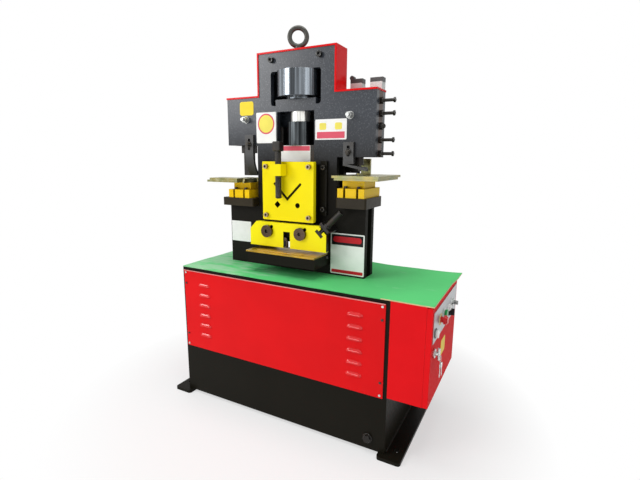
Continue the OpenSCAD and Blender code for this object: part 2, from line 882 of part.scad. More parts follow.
module electric_door() {
    color(red) difference() {
        block(door_x0, box_x1, box_y0, box_y1, door_z0, door_z1);
        block(door_x0 - past, box_x1 - sheet_t, box_y0 + sheet_t, box_y1 - sheet_t,
            door_z0 + sheet_t, door_z1 - sheet_t);
        unit_holes(box_x1 - sheet_t - past, box_x1 + past);
        pin_x(latch_y, latch_z, latch_r * 0.6, box_x1 - sheet_t - past, box_x1 + past);
    }
    color(red) for (z = [door_z0 + hinge_in, door_z1 - hinge_in - hinge_l / 2]) {
        block(hinge_x - 1.5, hinge_x + 1.5, box_y1, hinge_y - hinge_r + 0.5, z, z + hinge_l / 2);
        difference() {
            pin_z(hinge_x, hinge_y, hinge_r, z, z + hinge_l / 2);
            pin_z(hinge_x, hinge_y, hinge_r * 0.5 + 0.06, z - past, z + hinge_l / 2 + past);
        }
    }
}

module door_hinges() {
    color(dark_steel) for (z = [door_z0 + hinge_in, door_z1 - hinge_in - hinge_l / 2]) {
        pin_z(hinge_x, hinge_y, hinge_r * 0.5, z - hinge_l / 2, z + hinge_l / 2 + 3);
        pin_z(hinge_x, hinge_y, hinge_r, z - hinge_l / 2, z - 0.5);
        block(door_x0 - hinge_leaf, hinge_x, hinge_y - 1.5, hinge_y + 1.5, z - hinge_l / 2, z - 0.5);
        block(door_x0 - hinge_leaf, door_x0 - 0.4 * hinge_leaf, box_y1, hinge_y + 1.5, z - hinge_l / 2, z - 0.5);
    }
}

module control_plate() {
    color(grey) difference() {
        block(box_x1, control_x1, control_y0, control_y0 + control_l, control_z0, control_z1);
        unit_holes(box_x1 - past, control_x1 + past);
    }
}

// A control unit: shank in the hole, collar and cap in front of the plate.
module control_unit(y, z, r, gap, out) {
    pin_x(y, z, unit_r - unit_gap, box_x1 - sheet_t - 22, control_x1 + gap);
    pin_x(y, z, r, control_x1 + gap, control_x1 + out);
}

module estop_button() {
    color(red) {
        pin_x(stop_y, high_z, unit_r - unit_gap, box_x1 - sheet_t - 22, control_x1 + 12);
        pin_x(stop_y, high_z, stop_r, control_x1 + 12, control_x1 + 22);
        pin_x(stop_y, high_z, stop_r - 4, control_x1 + 22, control_x1 + 26);
    }
}

module green_button() {
    color(green) control_unit(green_y, high_z, collar_r, 5, 11);
}

module white_button() {
    color(grey) control_unit(white_y, low_z, collar_r, 5, 11);
}

module selector_switch() {
    y = selector_y;
    color(black) {
        control_unit(y, low_z, collar_r, move_gap, 7);
        block(control_x1 + 7, control_x1 + 19, y - 4, y + 4, low_z - collar_r + 2, low_z + collar_r - 2);
    }
}

module key_switch() {
    color(black) {
        control_unit(key_y, high_z, collar_r, move_gap, 7);
        block(control_x1 + 7, control_x1 + 24, key_y - 1.5, key_y + 1.5, high_z - 8, high_z + 8);
    }
}

module pilot_lamp() {
    color(grey) {
        control_unit(lamp_y, high_z, collar_r, 0, 6);
        pin_x(lamp_y, high_z, collar_r - 4, control_x1 + 6, control_x1 + 10);
    }
}

module door_latch() {
    y = latch_y;
    z = latch_z;
    x1 = box_x1 + latch_stem;
    color(steel) {
        pin_x(y, z, latch_r * 0.6 - unit_gap, box_x1 - sheet_t - 8, box_x1 + move_gap);
        pin_x(y, z, latch_r, box_x1 + move_gap, box_x1 + 6);
        pin_x(y, z, latch_r * 0.45, box_x1 + 6, x1);
        pin_z(x1 + 2, y, 5, z - latch_grip / 2, z + latch_grip / 2);
        block(box_x1 - sheet_t - 12, box_x1 - sheet_t - 8, y - latch_in + sheet_t + 3, y + 6, z - 6, z + 6);
    }
}

module contactors() {
    x = box_x0 + sheet_t;
    x1 = x + sheet_t;
    y0 = box_y0 + mount_edge;
    z0 = tank_z + mount_low;
    row_y = y0 + mount_low;
    color(grey) block(x, x1, y0, box_y1 - mount_edge, z0, base_h - mount_high);
    color(black) for (i = [0 : contactor_count - 1])
        block(x1, x1 + contactor_d, row_y + i * contactor_pitch, row_y + i * contactor_pitch + contactor_w,
            z0 + contactor_low, z0 + contactor_low + contactor_h);
    color(grey) block(x1, x1 + contactor_d / 2, row_y, row_y + contactor_count * contactor_pitch,
        z0 + mount_low, z0 + mount_low + contactor_w);
}

// Head plates

module head_outline() {
    polygon([[-column_left, base_h], [column_right, base_h], [column_right, right_floor_z],
        [throat_x, right_floor_z], [throat_x, right_roof_z], [shoulder_half, right_roof_z],
        [shoulder_half, shoulder_z], [tower_half, shoulder_z], [tower_half, tower_z],
        [-tower_half, tower_z], [-tower_half, shoulder_z], [-shoulder_half, shoulder_z],
        [-shoulder_half, left_roof_z], [-throat_x, left_roof_z], [-throat_x, left_floor_z],
        [-column_left, left_floor_z]]);
}

module tie_holes(clearance) {
    for (s = [-1, 1]) {
        translate([s * tower_bolt_x, tower_bolt_z]) circle(r = tower_bolt_r + clearance);
        translate([s * stud_x, stud_z]) circle(r = stud_r + clearance);
    }
}

module front_plate() {
    color(slate) head() slab_y(front_y, -inner_y) difference() {
        head_outline();
        soft_rect(-window_half, window_half, window_z0, window_z1, window_r);
        soft_rect(-slot_half, slot_half, foot_z0, window_z0 + window_r, 1);
        translate([-foot_half, foot_z0]) square([2 * foot_half, foot_z1 - foot_z0]);
        tie_holes(1);
    }
}

module rear_plate() {
    color(slate) head() slab_y(inner_y, rear_y) difference() {
        head_outline();
        soft_rect(-window_half, window_half, seat_z0, window_z1, window_r);
        soft_rect(-coupling_r - 6, coupling_r + 6, ram_top_z - ram_stroke - 12, seat_z0 + window_r, 6);
        soft_rect(-recess_half, recess_half, recess_z0 - 20, recess_z1 + 20, window_r);
        soft_rect(-foot_half, foot_half, foot_z0, foot_z1 - 10, window_r);
        tie_holes(1);
    }
}

module plate_spacers() {
    y0 = -inner_y;
    y1 = inner_y;
    sole_h = 40;
    color(black) head() {
        block(-column_left + 12, column_right - 12, y0, y1, base_h, base_h + sole_h);
        block(-column_left + 12, -column_left + 52, y0, y1, base_h + sole_h, left_floor_z - 4);
        block(column_right - 52, column_right - 14, y0, y1, base_h + sole_h, right_floor_z - 4);
        block(-tower_half + 20, tower_half - 20, y0, y1, tower_bolt_z + tower_bolt_r + 8, tower_z - 4);
        for (s = [-1, 1]) {
            block(s > 0 ? tower_half + 12 : -gib_x + 6, s > 0 ? gib_x - 6 : -tower_half - 12,
                y0, y1, shoulder_z - 30, shoulder_z - 4);
            difference() {
                pin_y(s * stud_x, stud_z, stud_r + 6, y0, y1);
                pin_y(s * stud_x, stud_z, stud_r + 1, y0 - past, y1 + past);
            }
            difference() {
                pin_y(s * tower_bolt_x, tower_bolt_z, tower_bolt_r + 6, y0, y1);
                pin_y(s * tower_bolt_x, tower_bolt_z, tower_bolt_r + 1, y0 - past, y1 + past);
            }
        }
    }
}

module frame_bolts() {
    color(dark_steel) head() for (s = [-1, 1]) {
        cap_screw_y(s * tower_bolt_x, tower_bolt_z, front_y, tower_bolt_r, 2 * rear_y + 18);
        pin_y(s * tower_bolt_x, tower_bolt_z, 1.8 * tower_bolt_r, rear_y, rear_y + 15, 6);
        pin_y(s * stud_x, stud_z, stud_r, front_y - 34, rear_y + 26);
        for (y = [front_y - 4, rear_y]) pin_y(s * stud_x, stud_z, 2.1 * stud_r, y, y + 4);
        for (y = [front_y - 22, rear_y + 4]) pin_y(s * stud_x, stud_z, 1.8 * stud_r, y, y + 18, 6);
    }
}

module edge_cover() {
    t = cover_t;
    x2 = shoulder_half + 2;
    color(red) head() slab_y(cover_y0, cover_y1) difference() {
        polygon([[-x2, shoulder_z], [-x2, shoulder_z + t], [-tower_half - t, shoulder_z + t],
            [-tower_half - t, tower_z + t], [tower_half + t, tower_z + t], [tower_half + t, shoulder_z + t],
            [x2, shoulder_z + t], [x2, shoulder_z], [tower_half, shoulder_z], [tower_half, tower_z],
            [-tower_half, tower_z], [-tower_half, shoulder_z]]);
    }
}

module eyebolt() {
    z0 = tower_z + cover_t;
    zc = z0 + 10 + eye_r + eye_section;
    color(dark_steel) head() {
        pin_z(eye_x, 0, 2 * eye_section, z0, z0 + 6);
        pin_z(eye_x, 0, 1.4 * eye_section, z0 + 6, z0 + 16);
        translate([eye_x, 0, zc]) rotate([0, 0, eye_turn]) rotate([90, 0, 0])
            rotate_extrude() translate([eye_r, 0]) circle(r = eye_section);
    }
}

// Guides of the ram

module gibs() {
    y0 = -inner_y + 0.5;
    y1 = inner_y - 0.5;
    color(dark_steel) head() {
        block(gib_x, cheek_x, y0, y1, right_roof_z + 6, shoulder_z - 24);
        block(-cheek_x, -gib_x, y0, y1, left_roof_z + 6, shoulder_z - 24);
    }
    color(black) head() {
        block(cheek_x, shoulder_half, -inner_y, inner_y, right_roof_z, shoulder_z);
        block(-shoulder_half, -cheek_x, -inner_y, inner_y, left_roof_z, shoulder_z);
    }
}

module gib_screws() {
    x0 = shoulder_half;
    color(dark_steel) head() {
        for (z = gib_heights) {
            pin_x(0, z, 2.1 * gib_screw_r, x0, x0 + 10, 6);
            pin_x(0, z, gib_screw_r, x0 + 10, x0 + gib_screw_out - 8);
            pin_x(0, z, 1.6 * gib_screw_r, x0 + gib_screw_out - 8, x0 + gib_screw_out, 4);
        }
        pin_x(0, cap_nut_z, 2.3 * gib_screw_r, x0, x0 + 11, 6);
        translate([x0 + 11, 0, cap_nut_z]) sphere(r = 1.7 * gib_screw_r);
        for (z = [shoulder_z - 63, shoulder_z - 97]) {
            pin_x(0, z, 2.1 * gib_screw_r, -x0 - 10, -x0, 6);
            pin_x(0, z, gib_screw_r, -x0 - 24, -x0 - 10);
        }
    }
}

// Cylinder and ram

module cylinder_tube() {
    color(steel) head() difference() {
        union() {
            pin_z(0, axis_y, neck_r, seat_z1, window_z1);
            pin_z(0, axis_y, tube_r, tube_z0, tube_z1);
        }
        pin_z(0, axis_y, bore_r, tube_z0 + 6, tube_z1 - 6);
        pin_z(0, axis_y, rod_r + rod_fit, seat_z1 - past, tube_z0 + 6 + past);
    }
}

module cylinder_seat() {
    clear = 0.5;
    color(slate) head() difference() {
        union() {
            block(-slot_half + clear, slot_half - clear, front_y, rear_y, seat_z0, window_z0);
            block(-seat_half, seat_half, front_y, rear_y, window_z0, seat_z1);
        }
        pin_z(0, axis_y, rod_r + rod_fit, seat_z0 - past, seat_z1 + past);
    }
}

module piston_rod() {
    color(chrome) head() {
        pin_z(0, axis_y, rod_r, coupling_top_z, piston_z0);
        pin_z(0, axis_y, bore_r - rod_fit, piston_z0, piston_z1);
    }
}

module rod_coupling() {
    color(dark_steel) head() difference() {
        pin_z(0, axis_y, coupling_r, ram_top_z, coupling_top_z);
        for (s = [-1, 1]) translate([s * coupling_r, axis_y, ram_top_z + 0.6 * coupling_h])
            rotate([0, 90, 0]) cylinder(r = 6, h = 16, center = true);
    }
}

module ram_beam() {
    stem = slot_half - ram_gap;
    foot = blade_half;
    wy = inner_y - 1;
    color(dark_steel) head() difference() {
        union() {
            block(-stem, stem, ram_y0, ram_y1, ram_low_z, ram_top_z);
            block(-foot, foot, ram_y0, ram_y1, ram_low_z, ram_low_z + foot_h);
            slab_y(-wy, wy) polygon([[stem - 10, ram_top_z - 120], [throat_x - 20, wing_right_z],
                [wing_x, wing_right_z], [wing_x, wing_top_z], [coupling_r + 20, wing_top_z],
                [coupling_r + 20, ram_top_z - 10]]);
            slab_y(-wy, wy) polygon([[-stem + 10, ram_top_z - 120], [-throat_x + 20, wing_left_z],
                [-wing_x, wing_left_z], [-wing_x, wing_top_z], [-coupling_r - 20, wing_top_z],
                [-coupling_r - 20, ram_top_z - 10]]);
        }
        block(-recess_half, recess_half, ram_y0 - past, recess_y1, recess_z0, recess_z1);
        block(-recess_half + 12, recess_half - 12, recess_y1 - past, ram_y1 + past,
            recess_z0 + 12, recess_z1 - 12);
        block(-foot - past, foot + past, ram_y0 - past, recess_y1, ram_low_z - past, ram_low_z + blade_h);
    }
}

module bar_openings(grow) {
    vee_2d(vee_tip_z, vee_l / sqrt(2) + grow, vee_w + 2 * grow);
    translate([-bar_x, bar_hole_z]) rotate(45) square(square_s + 2 * grow, center = true);
    translate([bar_x, bar_hole_z]) circle(r = round_r + grow);
}

module moving_blade() {
    clear = 0.3;
    color(steel) head() slab_y(ram_y0 + 0.5, recess_y1) difference() {
        translate([-recess_half + clear, recess_z0])
            square([2 * (recess_half - clear), recess_z1 - recess_z0 - clear]);
        bar_openings(1);
    }
}

module upper_blade() {
    tip = 20;
    color(steel) head() slab_y(ram_y0 + 0.5, recess_y1)
        polygon([[-blade_half, ram_low_z + blade_h], [blade_half, ram_low_z + blade_h],
            [blade_half, ram_low_z - 2], [-blade_half, ram_low_z - tip]]);
}

module punch_holder() {
    color(dark_steel) head() pin_z(station_x, 0, punch_holder_r, punch_holder_z, wing_right_z);
}

module punch() {
    color(steel) head() pin_z(station_x, 0, punch_r, punch_tip_z, punch_holder_z);
}

module notch_punch() {
    color(dark_steel) head() {
        block(-station_x - notch_w / 2, -station_x + notch_w / 2, -notch_d / 2, notch_d / 2,
            notch_tip_z, notch_holder_z);
        block(-station_x - notch_w / 2 - 10, -station_x + notch_w / 2 + 10, -inner_y + 3, inner_y - 3,
            notch_holder_z, wing_left_z);
    }
}

// Shear station

module plate_screw_spots() {
    x = angle_half - plate_screw_in;
    for (s = [-1, 1], z = [angle_z0 + plate_screw_in, angle_z1 - plate_screw_in])
        translate([s * x, z]) children();
}

module blade_block() {
    half = angle_half - block_in;
    color(black) head() difference() {
        union() {
            slab_y(block_y0, front_y) difference() {
                translate([-half, block_step_z]) square([2 * half, block_z1 - block_step_z]);
                bar_openings(0);
                plate_screw_spots() circle(r = plate_screw_r + 0.5);
            }
            block(-backing_half, backing_half, backing_y0, front_y, block_z0, block_step_z - 2);
            block(-half, half, block_y0, front_y, block_step_z - 4, block_step_z + 1);
        }
        for (i = [0, 1])
            pin_y(guide_x + i * guide_pitch, guide_hole_z, plate_screw_r,
                backing_y0 - past, backing_y0 + 30);
        pin_y(stop_bolt_x, stop_bolt_z, stop_bolt_r, backing_y0 - past, backing_y0 + 20);
    }
}

module angle_plate() {
    color(yellow) head() difference() {
        union() {
            slab_y(angle_y0, block_y0) soft_rect(-angle_half, angle_half, angle_z0, angle_z1, 4);
            block(clamp_x - lug_half, clamp_x + lug_half, angle_y0 - lug_out, angle_y0 + 1, lug_z0, lug_z1);
        }
        slab_y(angle_y0 - past, block_y0 + past) bar_openings(0);
        slab_y(angle_y0 - past, block_y0 + past) plate_screw_spots() circle(r = plate_screw_r + 0.5);
        pin_z(clamp_x, clamp_y, clamp_r + move_gap, lug_z0 - past, lug_z1 + past);
    }
}

module keepers() {
    color(black) head() for (s = [-1, 1])
        slab_y(front_y - keeper_t, front_y) difference() {
            soft_rect(s > 0 ? keeper_x0 : -keeper_x1, s > 0 ? keeper_x1 : -keeper_x0,
                keeper_z0, keeper_z1, 3);
            for (z = keeper_heights) translate([s * keeper_mid, z]) circle(r = plate_screw_r + 0.5);
        }
}

module stripper_stud(x, z) {
    pin_y(x, z, 6, stripper_y0 - 16, front_y);
    pin_y(x, z, 12, stripper_y0 - move_gap - 3, stripper_y0 - move_gap);
    pin_y(x, z, 10, stripper_y0 - move_gap - 11, stripper_y0 - move_gap - 3, 6);
}

module socket_screws() {
    color(dark_steel) head() {
        x = angle_half - plate_screw_in;
        for (s = [-1, 1], z = [angle_z0 + plate_screw_in, angle_z1 - plate_screw_in])
            cap_screw_y(s * x, z, angle_y0, plate_screw_r, angle_t + block_t - 12);
        for (s = [-1, 1], z = keeper_heights)
            cap_screw_y(s * keeper_mid, z, front_y - keeper_t, plate_screw_r, keeper_t - 1);
        for (dx = [-holder_slot_x, holder_slot_x], y = [-screw_y, screw_y]) {
            cap_screw_z(station_x + dx, y, right_flange_z, holder_slot_r - 0.5, holder_flange);
            cap_screw_z(-station_x + dx, y, left_flange_z, holder_slot_r - 0.5, holder_flange);
        }
        stripper_stud(right_stripper_x, right_stud_z);
        stripper_stud(left_stripper_x, left_stud_z);
    }
}

module holddown_screw() {
    c = clamp_head / 2;
    color(dark_steel) head() {
        pin_z(clamp_x, clamp_y, clamp_r, clamp_z0, clamp_z1);
        block(clamp_x - c, clamp_x + c, clamp_y - c, clamp_y + c, clamp_z1, clamp_z1 + clamp_head_h);
    }
}

// Local frame of the adjusting screw: its Z runs up and to the right at 45 degrees.
module along_adjust() {
    head() translate([adjust_x, adjust_y, adjust_foot_z]) rotate([0, 45, 0]) children();
}

module holddown_plate() {
    run = guide_run / sqrt(2);
    color(yellow) difference() {
        head() slab_y(flat_y0, flat_y1) difference() {
            polygon([[-flat_half, flat_z0], [flat_half, flat_z0], [flat_half, flat_z1 - flat_cut],
                [flat_half - flat_cut, flat_z1], [-flat_half + flat_cut, flat_z1],
                [-flat_half, flat_z1 - flat_cut]]);
            for (i = [0, 1]) slot_2d(guide_x + i * guide_pitch, guide_hole_z, run, run, guide_slot_r);
            translate([-middle_slot, flat_z0 - past]) square([2 * middle_slot, middle_slot_h + past]);
        }
        along_adjust() translate([-tee_w / 2, -flat_t, -tee_h / 2]) cube([tee_w, 2 * flat_t, tee_h]);
        along_adjust() translate([-tee_neck_w / 2, -flat_t, 0]) cube([tee_neck_w, 2 * flat_t, tee_neck_l]);
    }
}

module guide_screws() {
    y = flat_y0 - move_gap;
    color(dark_steel) head() for (i = [0, 1]) {
        x = guide_x + i * guide_pitch;
        difference() {
            pin_y(x, guide_hole_z, guide_head_r, y - 12, y);
            pin_y(x, guide_hole_z, 9, y - 12 - past, y - 4, 6);
        }
        pin_y(x, guide_hole_z, plate_screw_r, y, backing_y0 + 30);
    }
    color(dark_steel) head() {
        pin_y(stop_bolt_x, stop_bolt_z, stop_bolt_r, y - 4, backing_y0 + 20);
        pin_z(stop_bolt_x, adjust_y, stop_bolt_r - 1, flat_z0 + 1, stop_bolt_z);
    }
}

module adjust_spindle() {
    color(dark_steel) along_adjust() {
        translate([-tee_w / 2 + tee_gap, -adjust_r, -tee_h / 2])
            cube([tee_w - 2 * tee_gap, 2 * adjust_r, tee_h - tee_gap]);
        translate([0, 0, 6]) cylinder(r = 6, h = bracket_s0 - 8);
        translate([0, 0, bracket_s0 - 2]) cylinder(r = adjust_r, h = 82);
    }
}

module adjust_bracket() {
    y0 = flat_y0 - 6;
    color(dark_steel) along_adjust() difference() {
        translate([-bracket_half, y0 - adjust_y, bracket_s0])
            cube([2 * bracket_half, front_y - y0, bracket_s1 - bracket_s0]);
        translate([0, 0, bracket_s0 - past])
            cylinder(r = adjust_r + move_gap, h = bracket_s1 - bracket_s0 + 2 * past);
    }
}

module adjust_knob() {
    s0 = bracket_s1 + move_gap;
    color(dark_steel) along_adjust() difference() {
        union() {
            translate([0, 0, s0]) cylinder(r = knob_r + 4, h = 8);
            translate([0, 0, s0 + 8]) cylinder(r = knob_r, h = knob_l - 8);
        }
        translate([0, 0, s0 - past]) cylinder(r = adjust_r + move_gap, h = 75 + past);
    }
}

module shear_table() {
    strip_y = (table_y0 + flat_y0) / 2;
    color(zinc) head() {
        block(-table_half, table_half, table_y0, blade_y0, table_block_z1, table_top_z);
        translate([0, 0, table_top_z - 1]) linear_extrude(height = 3.5)
            soft_rect(-130, 100, strip_y - 12, strip_y + 12, 11.9);
    }
}

module table_block() {
    color(black) head() difference() {
        block(-table_half + 3, table_half - 3, table_y0 + 8, front_y, table_block_z0, table_block_z1);
        block(-table_half, table_half, blade_y0, front_y + past, blade_z0, table_block_z1 + past);
    }
}

module lower_blade() {
    color(steel) head() block(-blade_half, blade_half, blade_y0, front_y - 0.2, blade_z0, table_top_z);
}

// Punch and notch stations

module bolsters() {
    r = 8;
    d = bolster_d / 2;
    color(black) head() {
        difference() {
            translate([0, 0, right_floor_z]) linear_extrude(height = right_bolster_h)
                soft_rect(right_bolster_x0, right_bolster_x0 + right_bolster_w, -d, d, r);
            pin_z(station_x, 0, die_r - 4, right_floor_z - past, right_bolster_z + past);
        }
        difference() {
            translate([0, 0, left_floor_z]) linear_extrude(height = left_bolster_h)
                soft_rect(left_bolster_x1 - left_bolster_w, left_bolster_x1, -d, d, r);
            block(-station_x - notch_w / 2 - 2, -station_x + notch_w / 2 + 2,
                -notch_d / 2 - 2, notch_d / 2 + 2, left_floor_z - past, left_bolster_z + past);
        }
    }
}

module holder_body(x, z0) {
    w = holder_w / 2;
    d = holder_d / 2;
    zf = z0 + holder_flange;
    difference() {
        union() {
            block(x - w, x + w, -d, d, z0, zf);
            block(x - holder_block_w / 2, x + holder_block_w / 2, -holder_block_d / 2, holder_block_d / 2,
                zf - 1, zf + holder_block_h);
        }
        for (dx = [-holder_slot_x, holder_slot_x], s = [-1, 1]) {
            pin_z(x + dx, s * screw_y, holder_slot_r, z0 - past, zf + past);
            block(x + dx - holder_slot_r, x + dx + holder_slot_r, s > 0 ? screw_y : -d - past,
                s > 0 ? d + past : -screw_y, z0 - past, zf + past);
        }
    }
}

module die_holders() {
    clear = 0.2;
    color(yellow) head() {
        difference() {
            holder_body(station_x, right_bolster_z);
            pin_z(station_x, 0, die_r - 5, right_bolster_z - past, right_block_z + past);
            pin_z(station_x, 0, die_r + clear, die_low_z, right_block_z + past);
        }
        difference() {
            holder_body(-station_x, left_bolster_z);
            block(-station_x - notch_w / 2 - 3, -station_x + notch_w / 2 + 3,
                -notch_d / 2 - 3, notch_d / 2 + 3, left_bolster_z - past, left_block_z + past);
            block(-station_x - notch_die_half_w - clear, -station_x + notch_die_half_w + clear,
                -notch_die_half_d - clear, notch_die_half_d + clear, notch_die_low_z, left_block_z + past);
        }
    }
}

module dies() {
    color(zinc) head() difference() {
        union() {
            pin_z(station_x, 0, die_r, die_low_z, right_table_z);
            pin_z(station_x, 0, die_rim_r, right_table_z - 1, die_top_z);
        }
        pin_z(station_x, 0, punch_r + punch_gap, die_low_z - past, die_top_z + past);
    }
    color(steel) head() difference() {
        block(-station_x - notch_die_half_w, -station_x + notch_die_half_w,
            -notch_die_half_d, notch_die_half_d, notch_die_low_z, left_table_z);
        block(-station_x - notch_w / 2 - punch_gap, -station_x + notch_w / 2 + punch_gap,
            -notch_d / 2 - punch_gap, notch_d / 2 + punch_gap, notch_die_low_z - past, left_table_z + past);
    }
}

module support_tables() {
    x1 = right_table_x0 + right_table_w;
    color(zinc) head() {
        difference() {
            union() {
                block(right_table_x0 + 7, x1 - 5, -table_front + 6, right_table_back - 16,
                    right_block_z, right_block_z + layer_t);
                block(right_table_x0, x1, -table_front, right_table_back,
                    right_block_z + layer_t, right_table_z);
                block(fence_x0, fence_x0 + fence_w, rear_y + 8, rear_y + 18,
                    right_table_z - 1, right_roof_z - 5);
            }
            pin_z(station_x, 0, die_r + 3, right_block_z - past, right_table_z + past);
        }
        difference() {
            union() {
                block(left_table_x0, left_table_x1, -table_front, left_table_y1,
                    left_block_z, left_block_z + layer_t);
                block(left_table_x0 + 12, left_table_x1, -table_front + 3, left_table_y1,
                    left_block_z + layer_t - 1, left_table_z);
            }
            block(left_table_x1 - 40, left_table_x1 - 8, -table_front - past, -table_front + 48,
                left_block_z - past, left_table_z + past);
        }
    }
}

module stripper_plate(x, z0, z1, stud_z, below) {
    slab_y(stripper_y0, stripper_y1) difference() {
        translate([x - stripper_w / 2, z0]) square([stripper_w, z1 - z0]);
        slot_2d(x, stud_z - below, 0, below + stripper_long, stripper_slot_r);
    }
}

module stripper_right() {
    x0 = right_stripper_x - stripper_w / 2;
    y1 = stripper_y0 + finger_bar;
    fork = punch_holder_r + 2;
    z0 = right_stripper_z0 - finger_l;
    z1 = right_stripper_z0 + finger_l;
    color(dark_steel) head() {
        stripper_plate(right_stripper_x, right_stripper_z0, right_stripper_z1, right_stud_z, stripper_short);
        difference() {
            translate([x0, stripper_y0, right_stripper_z0]) rotate([0, finger_slope, 0])
                translate([0, 0, 3 - finger_t]) cube([finger_l, fork_back - stripper_y0, finger_t]);
            block(station_x - fork, station_x + fork, y1, fork_back + past, z0, z1);
            block(x0 - past, station_x - fork - fork_wall, y1, fork_back + past, z0, z1);
            block(station_x + fork + fork_wall, x0 + 2 * finger_l, y1, fork_back + past, z0, z1);
        }
    }
}

module stripper_left() {
    x0 = left_stripper_x - stripper_w / 2;
    color(dark_steel) head() {
        stripper_plate(left_stripper_x, left_stripper_z0, left_stripper_z1, left_stud_z, stripper_long);
        translate([x0, stripper_y1 + stripper_bend, left_stripper_z0]) rotate([0, 90, 0]) rotate([0, 0, -90])
            rotate_extrude(angle = stripper_bend_angle)
                translate([stripper_bend, 0]) square([stripper_t, stripper_w]);
    }
}

// Rear side

module limit_switches() {
    w = 48;
    depth = 40;
    lid = 17;
    y0 = rear_y;
    z0 = stud_z + 2.1 * stud_r + 3;
    z1 = shoulder_z + switch_rise;
    left = max(tower_half, oil_x + pipe_r) + switch_gap;
    right = shoulder_half - w - 18;
    color(dark_steel) head() block(tower_half + 10, shoulder_half - 4, y0, y0 + 6, z0, shoulder_z - 20);
    color(grey) head() for (x = [left, right]) block(x, x + w, y0 + 6, y0 + 6 + depth, z0 + 8, z1);
    color(black) head() {
        for (x = [left, right]) block(x - 2, x + w + 2, y0 + 10, y0 + 2 + depth, z1, z1 + lid);
        pin_y(left + 4, z1 + lid + 4, 9, y0 + 10, y0 + 0.75 * depth);
    }
}

module power_pack() {
    z = tank_z;
    mx = motor_x;
    mz = z + motor_r + motor_lift;
    color(slate) {
        pin_x(0, mz, motor_r, mx, mx + motor_l);
        block(mx + motor_foot_in, mx + motor_l - motor_foot_in, -motor_r + 14, motor_r - 14,
            z, mz - motor_r / 2);
    }
    pump_x = mx + motor_l + pump_l;
    valve_x = pump_x + valve_gap;
    color(steel) block(mx + motor_l - 1, pump_x, -38, 38, mz - 45, mz + 45);
    color(steel) block(valve_x, valve_x + valve_l, -valve_w / 2, valve_w / 2, z, z + valve_h);
}

module oil_pipe() {
    inner = oil_y - pipe_r;
    x1 = sqrt(tube_r * tube_r - inner * inner) + 0.5;
    color(dark_steel) head() {
        pin_z(oil_x, oil_y, pipe_r + 6, base_h, base_h + 24, 6);
        pin_z(oil_x, oil_y, pipe_r, base_h + 24, pipe_z - pipe_bend);
        translate([oil_x - pipe_bend, oil_y, pipe_z - pipe_bend]) rotate([90, 0, 0])
            rotate_extrude(angle = 90) translate([pipe_bend, 0]) circle(r = pipe_r);
        pin_x(oil_y, pipe_z, pipe_r, x1, oil_x - pipe_bend);
    }
}

// Sheet cover over the openings at the back, and the guard plate behind the punch.
module rear_cover() {
    x = rear_cover_half;
    t = rear_cover_t;
    color(black) head() {
        difference() {
            block(-x, x, rear_y, rear_cover_y1, rear_cover_z0, rear_cover_z1);
            block(-x + t, x - t, rear_y - past, rear_cover_y1 - t, rear_cover_z0 + t, rear_cover_z1 - t);
            pin_x(oil_y, pipe_z, pipe_r + 2, x - t - past, x + past);
        }
        block(guard_x0, guard_x1, rear_y, rear_y + guard_t, guard_z0, guard_z1);
    }
}

base_frame();
front_panel();
cover_panels();
skids();
top_mat();
panel_screws();
drain_plug();
electric_box();
electric_door();
door_hinges();
control_plate();
estop_button();
green_button();
white_button();
selector_switch();
key_switch();
pilot_lamp();
door_latch();
contactors();
front_plate();
rear_plate();
plate_spacers();
frame_bolts();
edge_cover();
eyebolt();
gibs();
gib_screws();
cylinder_tube();
cylinder_seat();
piston_rod();
rod_coupling();
ram_beam();
moving_blade();
upper_blade();
punch_holder();
punch();
notch_punch();
blade_block();
angle_plate();
socket_screws();
keepers();
holddown_screw();
holddown_plate();
guide_screws();
adjust_spindle();
adjust_bracket();
adjust_knob();
shear_table();
table_block();
lower_blade();
bolsters();
die_holders();
dies();
support_tables();
stripper_right();
stripper_left();
limit_switches();
power_pack();
oil_pipe();
rear_cover();
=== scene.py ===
"""Looks of a hydraulic ironworker: finishes, plates, threads, studio light and camera on the frame."""

import logging
import math
from collections.abc import Mapping, Sequence
from dataclasses import dataclass
from enum import Enum

import bmesh
import bpy
from mathutils import Matrix, Vector


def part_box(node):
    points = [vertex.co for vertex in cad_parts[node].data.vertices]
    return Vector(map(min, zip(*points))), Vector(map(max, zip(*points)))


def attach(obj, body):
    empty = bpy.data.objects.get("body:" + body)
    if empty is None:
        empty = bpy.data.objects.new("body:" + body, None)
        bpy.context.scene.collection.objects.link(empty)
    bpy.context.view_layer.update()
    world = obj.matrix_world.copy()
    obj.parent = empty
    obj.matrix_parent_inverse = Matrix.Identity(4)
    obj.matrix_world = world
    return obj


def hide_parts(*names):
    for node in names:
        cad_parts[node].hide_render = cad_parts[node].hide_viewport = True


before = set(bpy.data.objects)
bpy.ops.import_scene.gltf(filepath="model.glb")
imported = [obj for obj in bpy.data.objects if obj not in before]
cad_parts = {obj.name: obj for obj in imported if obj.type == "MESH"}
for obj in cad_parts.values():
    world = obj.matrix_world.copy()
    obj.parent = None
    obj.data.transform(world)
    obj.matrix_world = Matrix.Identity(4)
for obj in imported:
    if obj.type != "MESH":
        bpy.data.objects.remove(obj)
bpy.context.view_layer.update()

LOG = logging.getLogger("ironworker")
SHARP_ANGLE = math.radians(32)
WIRE_SIDES = 10
CORNER_SAMPLES = 4

# The screen's tone curve: a straight toe, then a shifted power
SCREEN_WHITE = 255
TOE_END = 0.04045
TOE_SLOPE = 12.92
CURVE_SHIFT = 0.055
CURVE_POWER = 2.4

Colour = tuple[float, float, float]
Point = tuple[float, float, float]
Outline = list[tuple[float, float]]


class Axis(Enum):
    """A coordinate of the shared frame."""

    X = "X"
    Y = "Y"
    Z = "Z"


